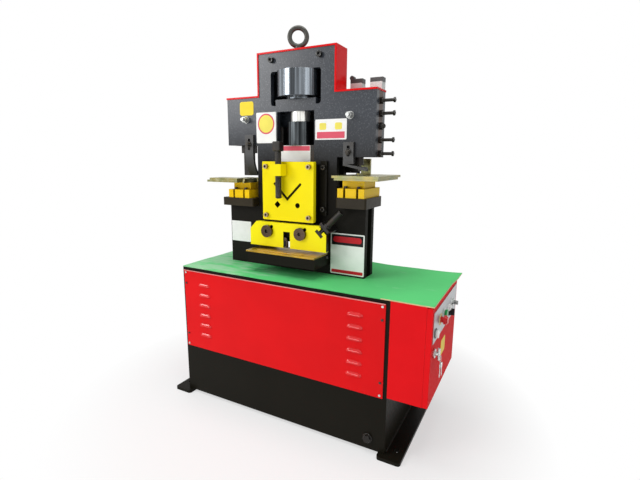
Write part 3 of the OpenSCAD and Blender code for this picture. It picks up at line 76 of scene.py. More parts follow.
class Side(Enum):
    """The way that a plate faces: which directions its width, height and thickness take."""

    FRONT = ((1, 0, 0), (0, 0, 1), (0, -1, 0))
    RIGHT = ((0, 1, 0), (0, 0, 1), (1, 0, 0))

    def matrix(self) -> Matrix:
        """Return the turn from plate directions to the shared frame."""
        return Matrix(self.value).transposed().to_4x4()


def screen(red: float, green: float, blue: float) -> Colour:
    """Turn screen values from 0 to 255 into the linear colour that shaders take.

    Args:
        red: red screen value.
        green: green screen value.
        blue: blue screen value.

    Returns:
        The linear colour.
    """
    parts = [value / SCREEN_WHITE for value in (red, green, blue)]
    curve = [((part + CURVE_SHIFT) / (1 + CURVE_SHIFT)) ** CURVE_POWER for part in parts]
    return tuple(p / TOE_SLOPE if p <= TOE_END else bent for p, bent in zip(parts, curve))


def shade(colour: Colour, factor: float) -> Colour:
    """Return the colour made lighter or darker by a factor."""
    return tuple(min(1.0, part * factor) for part in colour)


class Value:
    """Something that changes over a surface: a node's output socket with arithmetic for numbers."""

    def __init__(self, sheet: "Sheet", socket: bpy.types.NodeSocket) -> None:
        """Keep the socket and the sheet that it belongs to."""
        self.sheet = sheet
        self.socket = socket

    def _math(self, operation: str, first: "Term", second: "Term") -> "Value":
        """Add a Math node that joins two numbers."""
        return self.sheet.value("ShaderNodeMath", {"operation": operation}, {0: first, 1: second})

    def __add__(self, other: "Term") -> "Value":
        """Add a number or value."""
        return self._math("ADD", self, other)

    def __radd__(self, other: "Term") -> "Value":
        """Add this value to a number."""
        return self._math("ADD", other, self)

    def __sub__(self, other: "Term") -> "Value":
        """Take a number or value away."""
        return self._math("SUBTRACT", self, other)

    def __rsub__(self, other: "Term") -> "Value":
        """Take this value away from a number."""
        return self._math("SUBTRACT", other, self)

    def __mul__(self, other: "Term") -> "Value":
        """Multiply by a number or value."""
        return self._math("MULTIPLY", self, other)

    def __rmul__(self, other: "Term") -> "Value":
        """Multiply a number by this value."""
        return self._math("MULTIPLY", other, self)

    def most(self, other: "Term") -> "Value":
        """Return the larger of this and another value."""
        return self._math("MAXIMUM", self, other)

    def least(self, other: "Term") -> "Value":
        """Return the smaller of this and another value."""
        return self._math("MINIMUM", self, other)

    def between(self, low: float, high: float, soft: float) -> "Value":
        """Return 1 between two limits and 0 outside them, with soft borders."""
        return self.step(low - soft, low + soft) * (1.0 - self.step(high - soft, high + soft))

    def wave(self, length: float) -> "Value":
        """Return a sine between 0 and 1 that repeats after a length."""
        return self._math("SINE", self * (math.tau / length), 0.0) * 0.5 + 0.5

    def step(self, low: float, high: float) -> "Value":
        """Return a smooth rise from 0 at low to 1 at high.

        Args:
            low: value at which the rise starts.
            high: value at which it ends.

        Returns:
            The rise.
        """
        return self.sheet.value(
            "ShaderNodeMapRange",
            {"interpolation_type": "SMOOTHSTEP"},
            {"Value": self, "From Min": low, "From Max": high},
        )


Term = Value | float | Sequence[float]


class Sheet:
    """A node sheet on which values are worked out."""

    def __init__(self, tree: bpy.types.NodeTree) -> None:
        """Keep the tree that the nodes go on."""
        self.tree = tree

    def feed(self, socket: bpy.types.NodeSocket, term: Term) -> None:
        """Link a value to a socket, or set a plain number or colour on it.

        Args:
            socket: the input to feed.
            term: the value, number or colour.
        """
        if isinstance(term, Value):
            self.tree.links.new(term.socket, socket)
        elif socket.type == "RGBA" and len(term) == 3:
            socket.default_value = (*term, 1.0)
        else:
            socket.default_value = term

    def node(
        self, kind: str, settings: Mapping[str, object], sockets: Mapping[int | str, Term]
    ) -> bpy.types.Node:
        """Add one node.

        Args:
            kind: the node's type.
            settings: its properties, which are set first.
            sockets: values or links of its inputs, by name or number.

        Returns:
            The new node.
        """
        made = self.tree.nodes.new(kind)
        for name, setting in settings.items():
            setattr(made, name, setting)
        for key, term in sockets.items():
            self.feed(made.inputs[key], term)
        return made

    def value(
        self,
        kind: str,
        settings: Mapping[str, object],
        sockets: Mapping[int | str, Term],
        output: int | str = 0,
    ) -> Value:
        """Add one node and return one of its outputs.

        Args:
            kind: the node's type.
            settings: its properties.
            sockets: values or links of its inputs.
            output: name or number of the output.

        Returns:
            The output as a value.
        """
        return Value(self, self.node(kind, settings, sockets).outputs[output])

    def seen(self) -> Value:
        """Return 1 for rays from the camera, mirrored or clear-through, and 0 for those that only light."""
        path = self.node("ShaderNodeLightPath", {}, {})
        names = ("Is Camera Ray", "Is Glossy Ray", "Is Transmission Ray")
        camera, glossy, clear = (Value(self, path.outputs[name]) for name in names)
        return camera.most(glossy).most(clear)


class Skin(Sheet):
    """The node sheet of one material, which ends in a Principled shader."""

    def __init__(self, name: str) -> None:
        """Start a material with its shader.

        Args:
            name: the material's name.
        """
        self.material = bpy.data.materials.new(name)
        self.material.use_nodes = True
        super().__init__(self.material.node_tree)
        self.shader = self.tree.nodes["Principled BSDF"]

    def place(self) -> Value:
        """Return the point on the object in the shared frame, in metres."""
        return self.value("ShaderNodeTexCoord", {}, {}, "Object")

    def along(self, axis: Axis) -> Value:
        """Return one coordinate of the point on the object."""
        return self.value("ShaderNodeSeparateXYZ", {}, {0: self.place()}, axis.value)

    def mix(self, factor: Term, first: Term, second: Term) -> Value:
        """Blend two colours by a factor."""
        settings = {"data_type": "RGBA"}
        return self.value("ShaderNodeMix", settings, {0: factor, 6: first, 7: second}, 2)

    def bevel(self, radius: float) -> Value:
        """Return the surface normal with sharp edges rounded."""
        return self.value("ShaderNodeBevel", {"samples": CORNER_SAMPLES}, {"Radius": radius})

    def relief(self, height: Value, depth: float, rounding: float) -> Value:
        """Return a surface normal with fine relief and rounded edges.

        Args:
            height: relief from 0 to 1.
            depth: height of the relief in metres.
            rounding: radius at sharp edges in metres.

        Returns:
            The normal.
        """
        sockets = {"Height": height, "Distance": depth, "Normal": self.bevel(rounding)}
        return self.value("ShaderNodeBump", {}, sockets)

    def finish(self, sockets: Mapping[str, Term]) -> bpy.types.Material:
        """Feed the shader and return the material.

        Args:
            sockets: values or links of the shader's inputs, by name.

        Returns:
            The material.
        """
        for name, term in sockets.items():
            self.feed(self.shader.inputs[name], term)
        return self.material


class Pattern:
    """Something that shows on parts of a surface."""

    def on(self, sheet: Skin) -> Value:
        """Return 1 where the pattern shows and 0 where it doesn't."""
        raise NotImplementedError


@dataclass(frozen=True)
class Clouds(Pattern):
    """Cloudy noise: clouds in a metre, octaves of detail, and the noise where it starts and is full."""

    scale: float
    detail: float = 3.0
    low: float = 0.3
    high: float = 0.7
    stretch: Point = (1.0, 1.0, 1.0)

    def noise(self, sheet: Skin) -> Value:
        """Return the plain noise.

        Args:
            sheet: the material's node sheet.

        Returns:
            The noise.
        """
        settings = {"operation": "MULTIPLY"}
        point = sheet.value("ShaderNodeVectorMath", settings, {0: sheet.place(), 1: self.stretch})
        sockets = {"Vector": point, "Scale": self.scale, "Detail": self.detail}
        return sheet.value("ShaderNodeTexNoise", {}, sockets)

    def on(self, sheet: Skin) -> Value:
        """Return the noise drawn out to run from 0 to 1."""
        return self.noise(sheet).step(self.low, self.high)


@dataclass(frozen=True)
class Grain(Clouds):
    """Plain noise without limits."""

    def on(self, sheet: Skin) -> Value:
        """Return the noise as it is."""
        return self.noise(sheet)


@dataclass(frozen=True, kw_only=True)
class ScuffsAndSheen(Clouds):
    """Clouds that grow towards the left of a place, where they paint a pale sheen."""

    left: float
    right: float
    sheen_growth: float

    def noise(self, sheet: Skin) -> Value:
        """Return the noise, raised on the left as a painted sheen."""
        # Painted sheen: the pale colour grows towards the left.
        painted_sheen = 1.0 - sheet.along(Axis.X).step(self.left, self.right)
        return super().noise(sheet) + painted_sheen * self.sheen_growth


@dataclass(frozen=True, kw_only=True)
class Threads(Grain):
    """Fine rings along an axis, mixed with grain."""

    axis: Axis
    pitch: float
    share: float

    def noise(self, sheet: Skin) -> Value:
        """Return the rings and the grain together."""
        rings = sheet.along(self.axis).wave(self.pitch)
        return rings * self.share + super().noise(sheet) * (1.0 - self.share)


@dataclass(frozen=True)
class Edges(Pattern):
    """Sharp edges."""

    radius: float
    low: float = 0.01
    high: float = 0.2

    def on(self, sheet: Skin) -> Value:
        """Return 1 near sharp edges and 0 on flat faces.

        Args:
            sheet: the material's node sheet.

        Returns:
            The pattern.
        """
        flat = sheet.value("ShaderNodeNewGeometry", {}, {}, "True Normal")
        sockets = {0: sheet.bevel(self.radius), 1: flat}
        facing = sheet.value("ShaderNodeVectorMath", {"operation": "DOT_PRODUCT"}, sockets, "Value")
        return (1.0 - facing).step(self.low, self.high)


@dataclass(frozen=True)
class Hollows(Pattern):
    """Inner corners, which the finishes darken as painted shade."""

    reach: float
    low: float = 0.1
    high: float = 0.7

    def on(self, sheet: Skin) -> Value:
        """Return 1 deep in corners and 0 on open faces.

        Args:
            sheet: the material's node sheet.

        Returns:
            The pattern.
        """
        settings = {"samples": CORNER_SAMPLES, "only_local": True}
        open_part = sheet.value("ShaderNodeAmbientOcclusion", settings, {"Distance": self.reach}, "AO")
        return (1.0 - open_part).step(self.low, self.high)


@dataclass(frozen=True)
class Span(Pattern):
    """The stretch between two places on an axis."""

    axis: Axis
    low: float
    high: float
    soft: float

    def on(self, sheet: Skin) -> Value:
        """Return 1 between the two places."""
        return sheet.along(self.axis).between(self.low, self.high, self.soft)


@dataclass(frozen=True)
class Beyond(Pattern):
    """What lies past a place on an axis."""

    axis: Axis
    border: float
    soft: float

    def on(self, sheet: Skin) -> Value:
        """Return 1 past the place."""
        return sheet.along(self.axis).step(self.border - self.soft, self.border + self.soft)


@dataclass(frozen=True)
class Layer:
    """A colour where a pattern shows, and what the pattern adds to roughness and metal."""

    pattern: Pattern
    colour: Colour | None = None
    cover: float = 1.0
    rough: float = 0.0
    metal: float = 0.0


@dataclass(frozen=True)
class Relief:
    """Fine relief: its pattern, its depth, the rounding of edges and what it adds to roughness."""

    pattern: Pattern
    depth: float
    rounding: float
    rough: float = 0.0


@dataclass(frozen=True)
class Finish:
    """A named finish that makes its material on first use."""

    name: str

    def material(self) -> bpy.types.Material:
        """Return the finish's material."""
        label = f"{self.name}_finish"
        return bpy.data.materials.get(label) or self.mixed(Skin(label))

    def mixed(self, sheet: Skin) -> bpy.types.Material:
        """Fill the sheet with the finish's nodes."""
        raise NotImplementedError


@dataclass(frozen=True)
class Paint(Finish):
    """Sprayed paint with orange peel, slow tone changes, rubbed edges, and dust with painted shade in the
    corners.
    """

    colour: Colour
    bare: Colour = screen(120, 118, 114)
    roughness: float = 0.34
    gloss: float = 0.1
    peel_scale: float = 420.0
    peel_depth: float = 0.00012
    tone: float = 0.07
    rub: float = 0.5
    shade_and_grime: float = 0.5
    speck: float = 0.0
    coat: float = 0.1
    coat_roughness: float = 0.12
    coat_least: float = 0.85
    coat_spread: float = 0.3
    coat_patches: Grain = Grain(8.0)
    slow_tone: Clouds = Clouds(5.0, 4.0)
    dull_patches: Clouds = Clouds(90.0, 5.0, 0.3, 0.8)
    worn_patches: Clouds = Clouds(90.0, 5.0, 0.5, 0.66)
    dust: Grain = Grain(30.0, 4.0)
    dust_least: float = 0.4
    painted_shade_tone: float = 0.22
    shade_and_dust_reach: float = 0.02
    fleck_shade: float = 0.8
    edge_radius: float = 0.0012
    dull_rise: float = 0.12
    dust_rise: float = 0.3
    bare_metal: float = 0.7

    def mixed(self, sheet: Skin) -> bpy.types.Material:
        """Fill the sheet with the paint's nodes.

        Args:
            sheet: the material's node sheet.

        Returns:
            The material.
        """
        peel = Clouds(self.peel_scale, 2.0, 0.52, 0.75)
        flecks = peel.on(sheet) * self.flecks(sheet)
        # Inner corners darken: painted shade broken up by dust, which also dulls the paint and thins its
        # coat.
        shade_and_dust = Hollows(self.shade_and_dust_reach).on(sheet) * (self.dust.on(sheet) + self.dust_least) * self.shade_and_grime
        rubbed = Edges(self.edge_radius).on(sheet) * self.worn_patches.on(sheet) * self.rub
        dull = self.dull_patches.on(sheet) * self.dull_rise + shade_and_dust * self.dust_rise
        body = sheet.mix(flecks, self.body(sheet), shade(self.bare, self.fleck_shade))
        # Painted shade: the colour darkens in the inner corners.
        body = sheet.mix(shade_and_dust, body, shade(self.colour, self.painted_shade_tone))
        return sheet.finish(
            {
                "Base Color": sheet.mix(rubbed, body, self.bare),
                "Roughness": self.roughness + dull,
                "Metallic": rubbed * self.bare_metal,
                "Specular IOR Level": self.gloss,
                "Coat Weight": self.sheen(sheet) * (1.0 - shade_and_dust),
                "Coat Roughness": self.coat_roughness,
                "Normal": sheet.relief(peel.noise(sheet), self.peel_depth, self.edge_radius),
            }
        )

    def body(self, sheet: Skin) -> Value:
        """Return the paint's colour with slow changes of tone."""
        dark, light = shade(self.colour, 1 - self.tone), shade(self.colour, 1 + self.tone)
        return sheet.mix(self.slow_tone.on(sheet), dark, light)

    def flecks(self, sheet: Skin) -> Term:
        """Return how strongly pale flecks show."""
        return self.speck

    def sheen(self, sheet: Skin) -> Value:
        """Return how much clear gloss lies on the paint."""
        return (self.coat_patches.on(sheet) * self.coat_spread + self.coat_least) * self.coat


@dataclass(frozen=True)
class HeadPaint(Paint):
    """Textured paint that is shiny high up and dull below, its colour darker towards the bottom."""

    low_colour: Colour = (0.0, 0.0, 0.0)
    fade_low: float = 1.0
    fade_high: float = 1.3
    fade_clouds: Grain = Grain(6.0)
    fade_play: float = 0.08

    def body(self, sheet: Skin) -> Value:
        """Return the colour, darker towards the work stations."""
        return sheet.mix(self._height(sheet), self.low_colour, super().body(sheet))

    def flecks(self, sheet: Skin) -> Term:
        """Return the flecks' strength, which fails towards the work stations."""
        return self._height(sheet) * self.speck

    def sheen(self, sheet: Skin) -> Value:
        """Return the gloss, which fails towards the work stations."""
        return super().sheen(sheet) * self._height(sheet)

    def _height(self, sheet: Skin) -> Value:
        """Return 0 on the column and 1 on the tower."""
        height = sheet.along(Axis.Z) + self.fade_clouds.on(sheet) * self.fade_play
        return height.step(self.fade_low, self.fade_high)


@dataclass(frozen=True)
class CutPaint(Paint):
    """Painted tool plate whose openings are cut through to bare, oily steel."""

    face_y: float = 0.0
    left_x: float = 0.0
    right_x: float = 0.0
    low_z: float = 0.0
    high_z: float = 0.0
    cut_colour: Colour = screen(26, 24, 20)
    border: float = 0.0002
    paint_start: float = 0.0003
    paint_end: float = 0.0009

    def body(self, sheet: Skin) -> Value:
        """Return the paint's colour, or the steel's inside the openings.

        Args:
            sheet: the material's node sheet.

        Returns:
            The colour.
        """
        across = Span(Axis.X, self.left_x, self.right_x, self.border).on(sheet)
        upright = Span(Axis.Z, self.low_z, self.high_z, self.border).on(sheet)
        behind = sheet.along(Axis.Y).step(self.face_y + self.paint_start, self.face_y + self.paint_end)
        return sheet.mix(across * upright * behind, super().body(sheet), self.cut_colour)


@dataclass(frozen=True)
class PressedPaint(Paint):
    """Painted sheet whose pressed hoods stand proud and are rubbed shiny."""

    face_y: float = 0.0
    ridge: float = 0.9
    proud_start: float = 0.0006
    proud_full: float = 0.0022

    def sheen(self, sheet: Skin) -> Value:
        """Return the gloss, which is strong on what stands in front of the sheet's face."""
        flat = sheet.along(Axis.Y).step(self.face_y - self.proud_full, self.face_y - self.proud_start)
        return super().sheen(sheet) + (1.0 - flat) * self.ridge


@dataclass(frozen=True)
class Surface(Finish):
    """A finish made of layers on a ground colour, with fine relief."""

    colour: Colour
    roughness: float = 0.36
    metallic: float = 0.0
    gloss: float = 0.5
    dark: float = 1.0

    def ground(self) -> Colour:
        """Return the colour under all layers."""
        return shade(self.colour, self.dark)

    def layers(self) -> list[Layer]:
        """Return the layers from the lowest up."""
        raise NotImplementedError

    def relief(self) -> Relief:
        """Return the fine relief."""
        raise NotImplementedError

    def mixed(self, sheet: Skin) -> bpy.types.Material:
        """Fill the sheet with the nodes of all layers.

        Args:
            sheet: the material's node sheet.

        Returns:
            The material.
        """
        relief = self.relief()
        height = relief.pattern.on(sheet)
        body, metal = self.ground(), self.metallic
        rough = self.roughness + height * relief.rough if relief.rough else self.roughness
        for layer in self.layers():
            shown = layer.pattern.on(sheet)
            if layer.colour:
                body = sheet.mix(shown * layer.cover, body, layer.colour)
            if layer.rough:
                rough = rough + shown * layer.rough
            if layer.metal:
                metal = metal + shown * layer.metal
        return sheet.finish(
            {
                "Base Color": body,
                "Roughness": rough,
                "Metallic": metal,
                "Specular IOR Level": self.gloss,
                "Normal": sheet.relief(height, relief.depth, relief.rounding),
            }
        )


@dataclass(frozen=True, kw_only=True)
class Steel(Surface):
    """Machined metal with marks along one direction, oil stains, painted shade in the corners and bright
    edges; strong contrast turns the marks into painted reflection streaks.
    """

    roughness: float = 0.32
    metallic: float = 1.0
    stain: Colour = screen(60, 52, 44)
    marks_and_reflections: Point = (40.0, 40.0, 1200.0)
    mark_depth: float = 0.00004
    mark_and_reflection_contrast: float = 0.08
    stains: float = 0.3
    bright_edges: float = 0.5

    def ground(self) -> Colour:
        """Return the darker tone of the marks and painted reflection streaks."""
        return shade(self.colour, 1.0 - self.mark_and_reflection_contrast)

    def layers(self) -> list[Layer]:
        """Return marks and painted reflection streaks, oil, painted shade in the corners and bright edges.
        """
        strong = shade(self.colour, 1.0 + self.mark_and_reflection_contrast)
        return [
            # Two tones of the marks; at strong contrast they draw upright stripes: painted reflections.
            Layer(Clouds(1.0, stretch=self.marks_and_reflections), strong),
            Layer(Clouds(22.0, 5.0, 0.48, 0.72), self.stain, cover=self.stains, rough=0.25 * self.stains),
            # Painted shade: inner corners darken.
            Layer(Hollows(reach=0.012), shade(self.stain, 0.5), cover=0.5, metal=-0.2),
            Layer(Edges(radius=0.0008), screen(206, 206, 204), cover=self.bright_edges),
        ]

    def relief(self) -> Relief:
        """Return the tool marks' relief."""
        return Relief(Grain(1.0, stretch=self.marks_and_reflections), self.mark_depth, rounding=0.0008, rough=0.1)


@dataclass(frozen=True, kw_only=True)
class Plated(Surface):
    """Yellow-passivated zinc: greenish and golden clouds on metal, dulled by handling."""

    roughness: float = 0.34
    metallic: float = 0.85
    gold: Colour
    pale: Colour

    def layers(self) -> list[Layer]:
        """Return golden clouds, a pale veil and bright edges."""
        veil = Clouds(38.0, 5.0, 0.42, 0.72, (1.0, 0.4, 1.0))
        return [
            Layer(Clouds(16.0, 4.0, 0.36, 0.64), self.gold),
            Layer(veil, self.pale, cover=0.6, rough=0.18, metal=-0.25),
            Layer(Edges(radius=0.0008), screen(226, 222, 200), cover=0.6),
        ]

    def relief(self) -> Relief:
        """Return fine scratches."""
        scratches = Clouds(1.0, 2.0, 0.62, 0.75, (900.0, 30.0, 900.0))
        return Relief(scratches, depth=0.00003, rounding=0.0007, rough=-0.06)


@dataclass(frozen=True, kw_only=True)
class Hardware(Surface):
    """Fasteners of two looks, one on each side of a border plane, with fine thread rings."""

    metallic: float = 0.9
    other: Colour
    border_axis: Axis
    border: float
    thread_axis: Axis = Axis.Y
    thread_pitch: float = 0.0022

    def layers(self) -> list[Layer]:
        """Return the second look, stains, dull patches, bright edges and painted shade in the corners."""
        return [
            Layer(Beyond(self.border_axis, self.border, soft=0.001), self.other),
            Layer(Clouds(140.0, 4.0, 0.45, 0.75), shade(self.colour, 0.55), cover=0.4),
            Layer(Clouds(140.0, 4.0, 0.5, 0.8), metal=-0.3),
            Layer(Grain(140.0, 4.0), rough=0.14),
            Layer(Edges(radius=0.0007), screen(196, 194, 188), cover=0.55),
            # Painted shade: sockets and inner corners turn near black.
            Layer(Hollows(reach=0.01), screen(12, 11, 10)),
        ]

    def relief(self) -> Relief:
        """Return the thread rings."""
        rings = Threads(140.0, 4.0, axis=self.thread_axis, pitch=self.thread_pitch, share=0.4)
        return Relief(rings, depth=0.00008, rounding=0.0007)


@dataclass(frozen=True, kw_only=True)
class PanelScrews(Surface):
    """Bright screw heads near a panel's corners and blacked ones along its sides."""

    roughness: float = 0.3
    metallic: float = 0.9
    blacked: Colour
    low_z: float
    high_z: float

    def layers(self) -> list[Layer]:
        """Return the blacked heads and the wear on all heads."""
        return [
            Layer(Span(Axis.Z, self.low_z, self.high_z, soft=0.001), self.blacked, metal=-0.5),
            Layer(Grain(400.0), shade(self.blacked, 2.0), cover=0.3, rough=0.2),
        ]

    def relief(self) -> Relief:
        """Return the wear's relief."""
        return Relief(Grain(400.0), depth=0.00004, rounding=0.0008)


@dataclass(frozen=True, kw_only=True)
class Rubber(Surface):
    """Green rubber sheet: fine grain on top, scuffs, and a painted sheen that grows towards the left."""

    roughness: float = 0.62
    gloss: float = 0.15
    dark: float = 0.93
    scuff_and_sheen: Colour
    sheen_left: float
    sheen_right: float

    def layers(self) -> list[Layer]:
        """Return slow tones, scuffs with a painted sheen towards the left, and painted shade in the
        corners.
        """
        # Pale scuffs that grow towards the left: partly real scuffs, partly a painted sheen.
        place = {"left": self.sheen_left, "right": self.sheen_right, "sheen_growth": 0.4}
        scuffs_and_sheen = ScuffsAndSheen(11.0, 6.0, 0.62, 0.95, (1.0, 3.0, 1.0), **place)
        return [
            Layer(Clouds(3.2, 4.0), shade(self.colour, 1.06)),
            Layer(scuffs_and_sheen, self.scuff_and_sheen, cover=0.55, rough=0.16),
            # Painted shade: inner corners darken.
            Layer(Hollows(reach=0.03), shade(self.colour, 0.4), cover=0.35),
        ]

    def relief(self) -> Relief:
        """Return the sheet's grain."""
        return Relief(Grain(620.0, 2.0), depth=0.00025, rounding=0.0016, rough=0.08)


@dataclass(frozen=True)
class Plastic(Surface):
    """Moulded plastic with fine spark texture and handling shine."""

    gloss: float = 0.25
    dark: float = 0.94

    def layers(self) -> list[Layer]:
        """Return handled patches and painted shade in the corners."""
        return [
            Layer(Clouds(60.0, 4.0, 0.4, 0.7), shade(self.colour, 1.05), rough=0.12),
            # Painted shade: inner corners darken.
            Layer(Hollows(reach=0.006), shade(self.colour, 0.35), cover=0.5),
        ]

    def relief(self) -> Relief:
        """Return the spark texture."""
        return Relief(Grain(1500.0, 2.0), depth=0.00005, rounding=0.0008)


@dataclass(frozen=True)
class Print(Surface):
    """A printed film or painted plate: an even colour with faint fading and a soft gloss."""

    roughness: float = 0.42
    gloss: float = 0.15
    dust: Clouds = Clouds(240.0, 3.0, 0.6, 0.8)

    def layers(self) -> list[Layer]:
        """Return faded patches and dust."""
        return [
            Layer(Clouds(25.0, 4.0, 0.35, 0.75), shade(self.colour, 0.94), rough=0.1),
            Layer(self.dust, screen(150, 146, 140), cover=0.12),
        ]

    def relief(self) -> Relief:
        """Return the dust's relief."""
        return Relief(self.dust, depth=0.00002, rounding=0.0003)


@dataclass(frozen=True, kw_only=True)
class SwitchBox(Surface):
    """Pale die-cast switch bodies under dark lids."""

    roughness: float = 0.42
    metallic: float = 0.35
    dark: float = 0.88
    lid: Colour
    lid_z: float

    def layers(self) -> list[Layer]:
        """Return slow tones, the lids and painted shade in the corners."""
        return [
            Layer(Grain(30.0, 4.0), shade(self.colour, 1.04)),
            Layer(Beyond(Axis.Z, self.lid_z, soft=0.0006), self.lid, metal=-0.2),
            # Painted shade: inner corners darken.
            Layer(Hollows(reach=0.015), shade(self.lid, 0.5), cover=0.6),
        ]

    def relief(self) -> Relief:
        """Return the casting's grain."""
        return Relief(Grain(260.0), depth=0.0001, rounding=0.0012, rough=0.16)


SIGNAL_RED = screen(224, 12, 18)
TOOL_BARE = screen(110, 100, 70)
NO_GRAIN = (200.0, 200.0, 200.0)

RED = Paint("signal_red", SIGNAL_RED, roughness=0.36, gloss=0.06, tone=0.03, rub=0.35, shade_and_grime=0.4)
BOX_RED = Paint("box_red", screen(232, 26, 32), roughness=0.5, gloss=0.02, tone=0.03, rub=0.35, coat=0.02)
PANEL_RED = PressedPaint("panel_red", SIGNAL_RED, roughness=0.36, gloss=0.06, tone=0.03, face_y=-0.243)
# Pale pink colour of the strip along the front panel's top edge: a painted highlight.
PAINTED_EDGE_HIGHLIGHT = Paint("painted_edge_highlight", screen(238, 150, 148), rub=0.2)
BLACK = Paint(
    "cabinet_black", screen(25, 23, 17), bare=screen(92, 86, 76), gloss=0.05, rub=0.45, coat=0.03
)
OILY = Paint(
    "oily_black", screen(50, 44, 33), bare=screen(112, 104, 88), gloss=0.08, tone=0.2, rub=0.6, coat=0.03
)
SLATE = HeadPaint(
    "textured_slate",
    screen(43, 48, 56),
    bare=screen(120, 124, 130),
    roughness=0.5,
    gloss=0.05,
    peel_scale=210.0,
    peel_depth=0.0008,
    rub=0.3,
    speck=0.5,
    coat=0.78,
    coat_roughness=0.29,
    low_colour=screen(30, 28, 25),
    fade_low=1.02,
)
YELLOW = Paint("tool_yellow", screen(252, 206, 10), bare=TOOL_BARE, gloss=0.08, tone=0.06, shade_and_grime=0.9)
ANGLE_YELLOW = CutPaint(
    "angle_yellow",
    screen(252, 232, 4),
    bare=TOOL_BARE,
    gloss=0.08,
    tone=0.02,
    face_y=-0.110,
    left_x=-0.103,
    right_x=0.077,
    low_z=0.850,
    high_z=1.000,
)
FLAT_YELLOW = CutPaint(
    "flat_yellow",
    screen(254, 240, 16),
    bare=TOOL_BARE,
    gloss=0.08,
    tone=0.02,
    face_y=-0.1183,
    left_x=-0.150,
    right_x=0.178,
    low_z=0.7115,
    high_z=0.809,
)
# Strong contrast draws upright stripes on the rod: painted reflections.
CHROME = Steel(
    "hard_chrome",
    screen(226, 226, 220),
    roughness=0.3,
    marks_and_reflections=(160.0, 160.0, 1.0),
    mark_depth=0.0004,
    mark_and_reflection_contrast=0.3,
    stains=0.06,
    metallic=0.8,
)
# Strong contrast draws upright stripes on the tube: painted reflections.
TURNED = Steel(
    "turned_steel",
    screen(112, 118, 124),
    roughness=0.2,
    marks_and_reflections=(90.0, 90.0, 1.0),
    mark_depth=0.0016,
    mark_and_reflection_contrast=0.7,
    stains=0.2,
)
GROUND = Steel("ground_steel", screen(84, 82, 78), roughness=0.4, stains=0.6, marks_and_reflections=(1000.0, 40.0, 40.0))
BLACKED = Steel(
    "blacked_steel",
    screen(44, 42, 40),
    stain=screen(70, 54, 40),
    roughness=0.34,
    marks_and_reflections=(300.0, 300.0, 300.0),
    metallic=0.75,
    bright_edges=0.35,
)
# Strong contrast draws upright stripes on the coupling: painted reflections.
SMOOTH_BLACK = Steel(
    "smooth_black",
    screen(64, 68, 70),
    stain=screen(30, 28, 26),
    roughness=0.24,
    marks_and_reflections=(90.0, 90.0, 1.0),
    mark_depth=0.0012,
    mark_and_reflection_contrast=0.6,
    stains=0.2,
)
FORGED = Steel(
    "forged_steel",
    screen(74, 74, 70),
    stain=screen(54, 44, 36),
    roughness=0.36,
    marks_and_reflections=NO_GRAIN,
    mark_depth=0.0002,
    metallic=0.8,
)
BROWNED = Steel(
    "browned_steel", screen(74, 58, 50), stain=screen(40, 32, 28), marks_and_reflections=(60.0, 60.0, 600.0), stains=0.5
)
ZINC = Plated(
    "zinc_tables", screen(116, 118, 76), gold=screen(142, 130, 80), pale=screen(164, 164, 134)
)
GOLD_ZINC = Plated(
    "golden_zinc", screen(142, 112, 32), gold=screen(184, 142, 38), pale=screen(178, 146, 60)
)
ALUMINIUM = Steel(
    "brushed_aluminium", screen(176, 178, 180), roughness=0.38, marks_and_reflections=(40.0, 30.0, 900.0), stains=0.08
)
BRIGHT = Steel("bright_zinc", screen(206, 208, 206), roughness=0.22, marks_and_reflections=NO_GRAIN, stains=0.15)
OILED = Steel(
    "oiled_steel",
    screen(82, 68, 56),
    stain=screen(36, 28, 22),
    roughness=0.2,
    marks_and_reflections=(260.0, 260.0, 260.0),
    stains=0.6,
)
GREY_STEEL = Steel(
    "grey_steel", screen(66, 66, 66), roughness=0.42, marks_and_reflections=(80.0, 80.0, 700.0), metallic=0.6
)
MAT = Rubber(
    "green_rubber", screen(92, 208, 122), scuff_and_sheen=screen(190, 218, 194), sheen_left=-0.5, sheen_right=0.25
)
CUT_RUBBER = Plastic("cut_rubber", screen(222, 198, 150), roughness=0.6)
RED_PLASTIC = Plastic("red_plastic", screen(222, 44, 50), roughness=0.24)
GREEN_PLASTIC = Plastic("green_plastic", screen(32, 158, 78), roughness=0.24)
WHITE_PLASTIC = Plastic("white_plastic", screen(250, 250, 247), roughness=0.26)
BLACK_PLASTIC = Plastic("black_plastic", screen(26, 26, 27))
GREY_PLASTIC = Plastic("grey_plastic", screen(170, 172, 170))
WHITE_FILM = Print("white_film", screen(250, 250, 248))
RED_FILM = Print("red_film", screen(206, 34, 44))
ROSE_FILM = Print("rose_film", screen(226, 92, 112))
YELLOW_FILM = Print("yellow_film", screen(250, 222, 60))
LEMON_FILM = Print("lemon_film", screen(246, 232, 104))
PALE_FILM = Print("pale_film", screen(242, 226, 160))
BLACK_FILM = Print("black_film", screen(24, 23, 23))
SILVER_FILM = Print("silver_film", screen(250, 250, 248), roughness=0.3)


def dress(finish: Finish, *nodes: str) -> None:
    """Give CAD nodes a finish.

    Args:
        finish: the finish that they wear.
        nodes: names of the CAD nodes.
    """
    for node in nodes:
        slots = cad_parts[node].data.materials
        slots.clear()
        slots.append(finish.material())
        LOG.info("%s wears %s", node, finish.name)


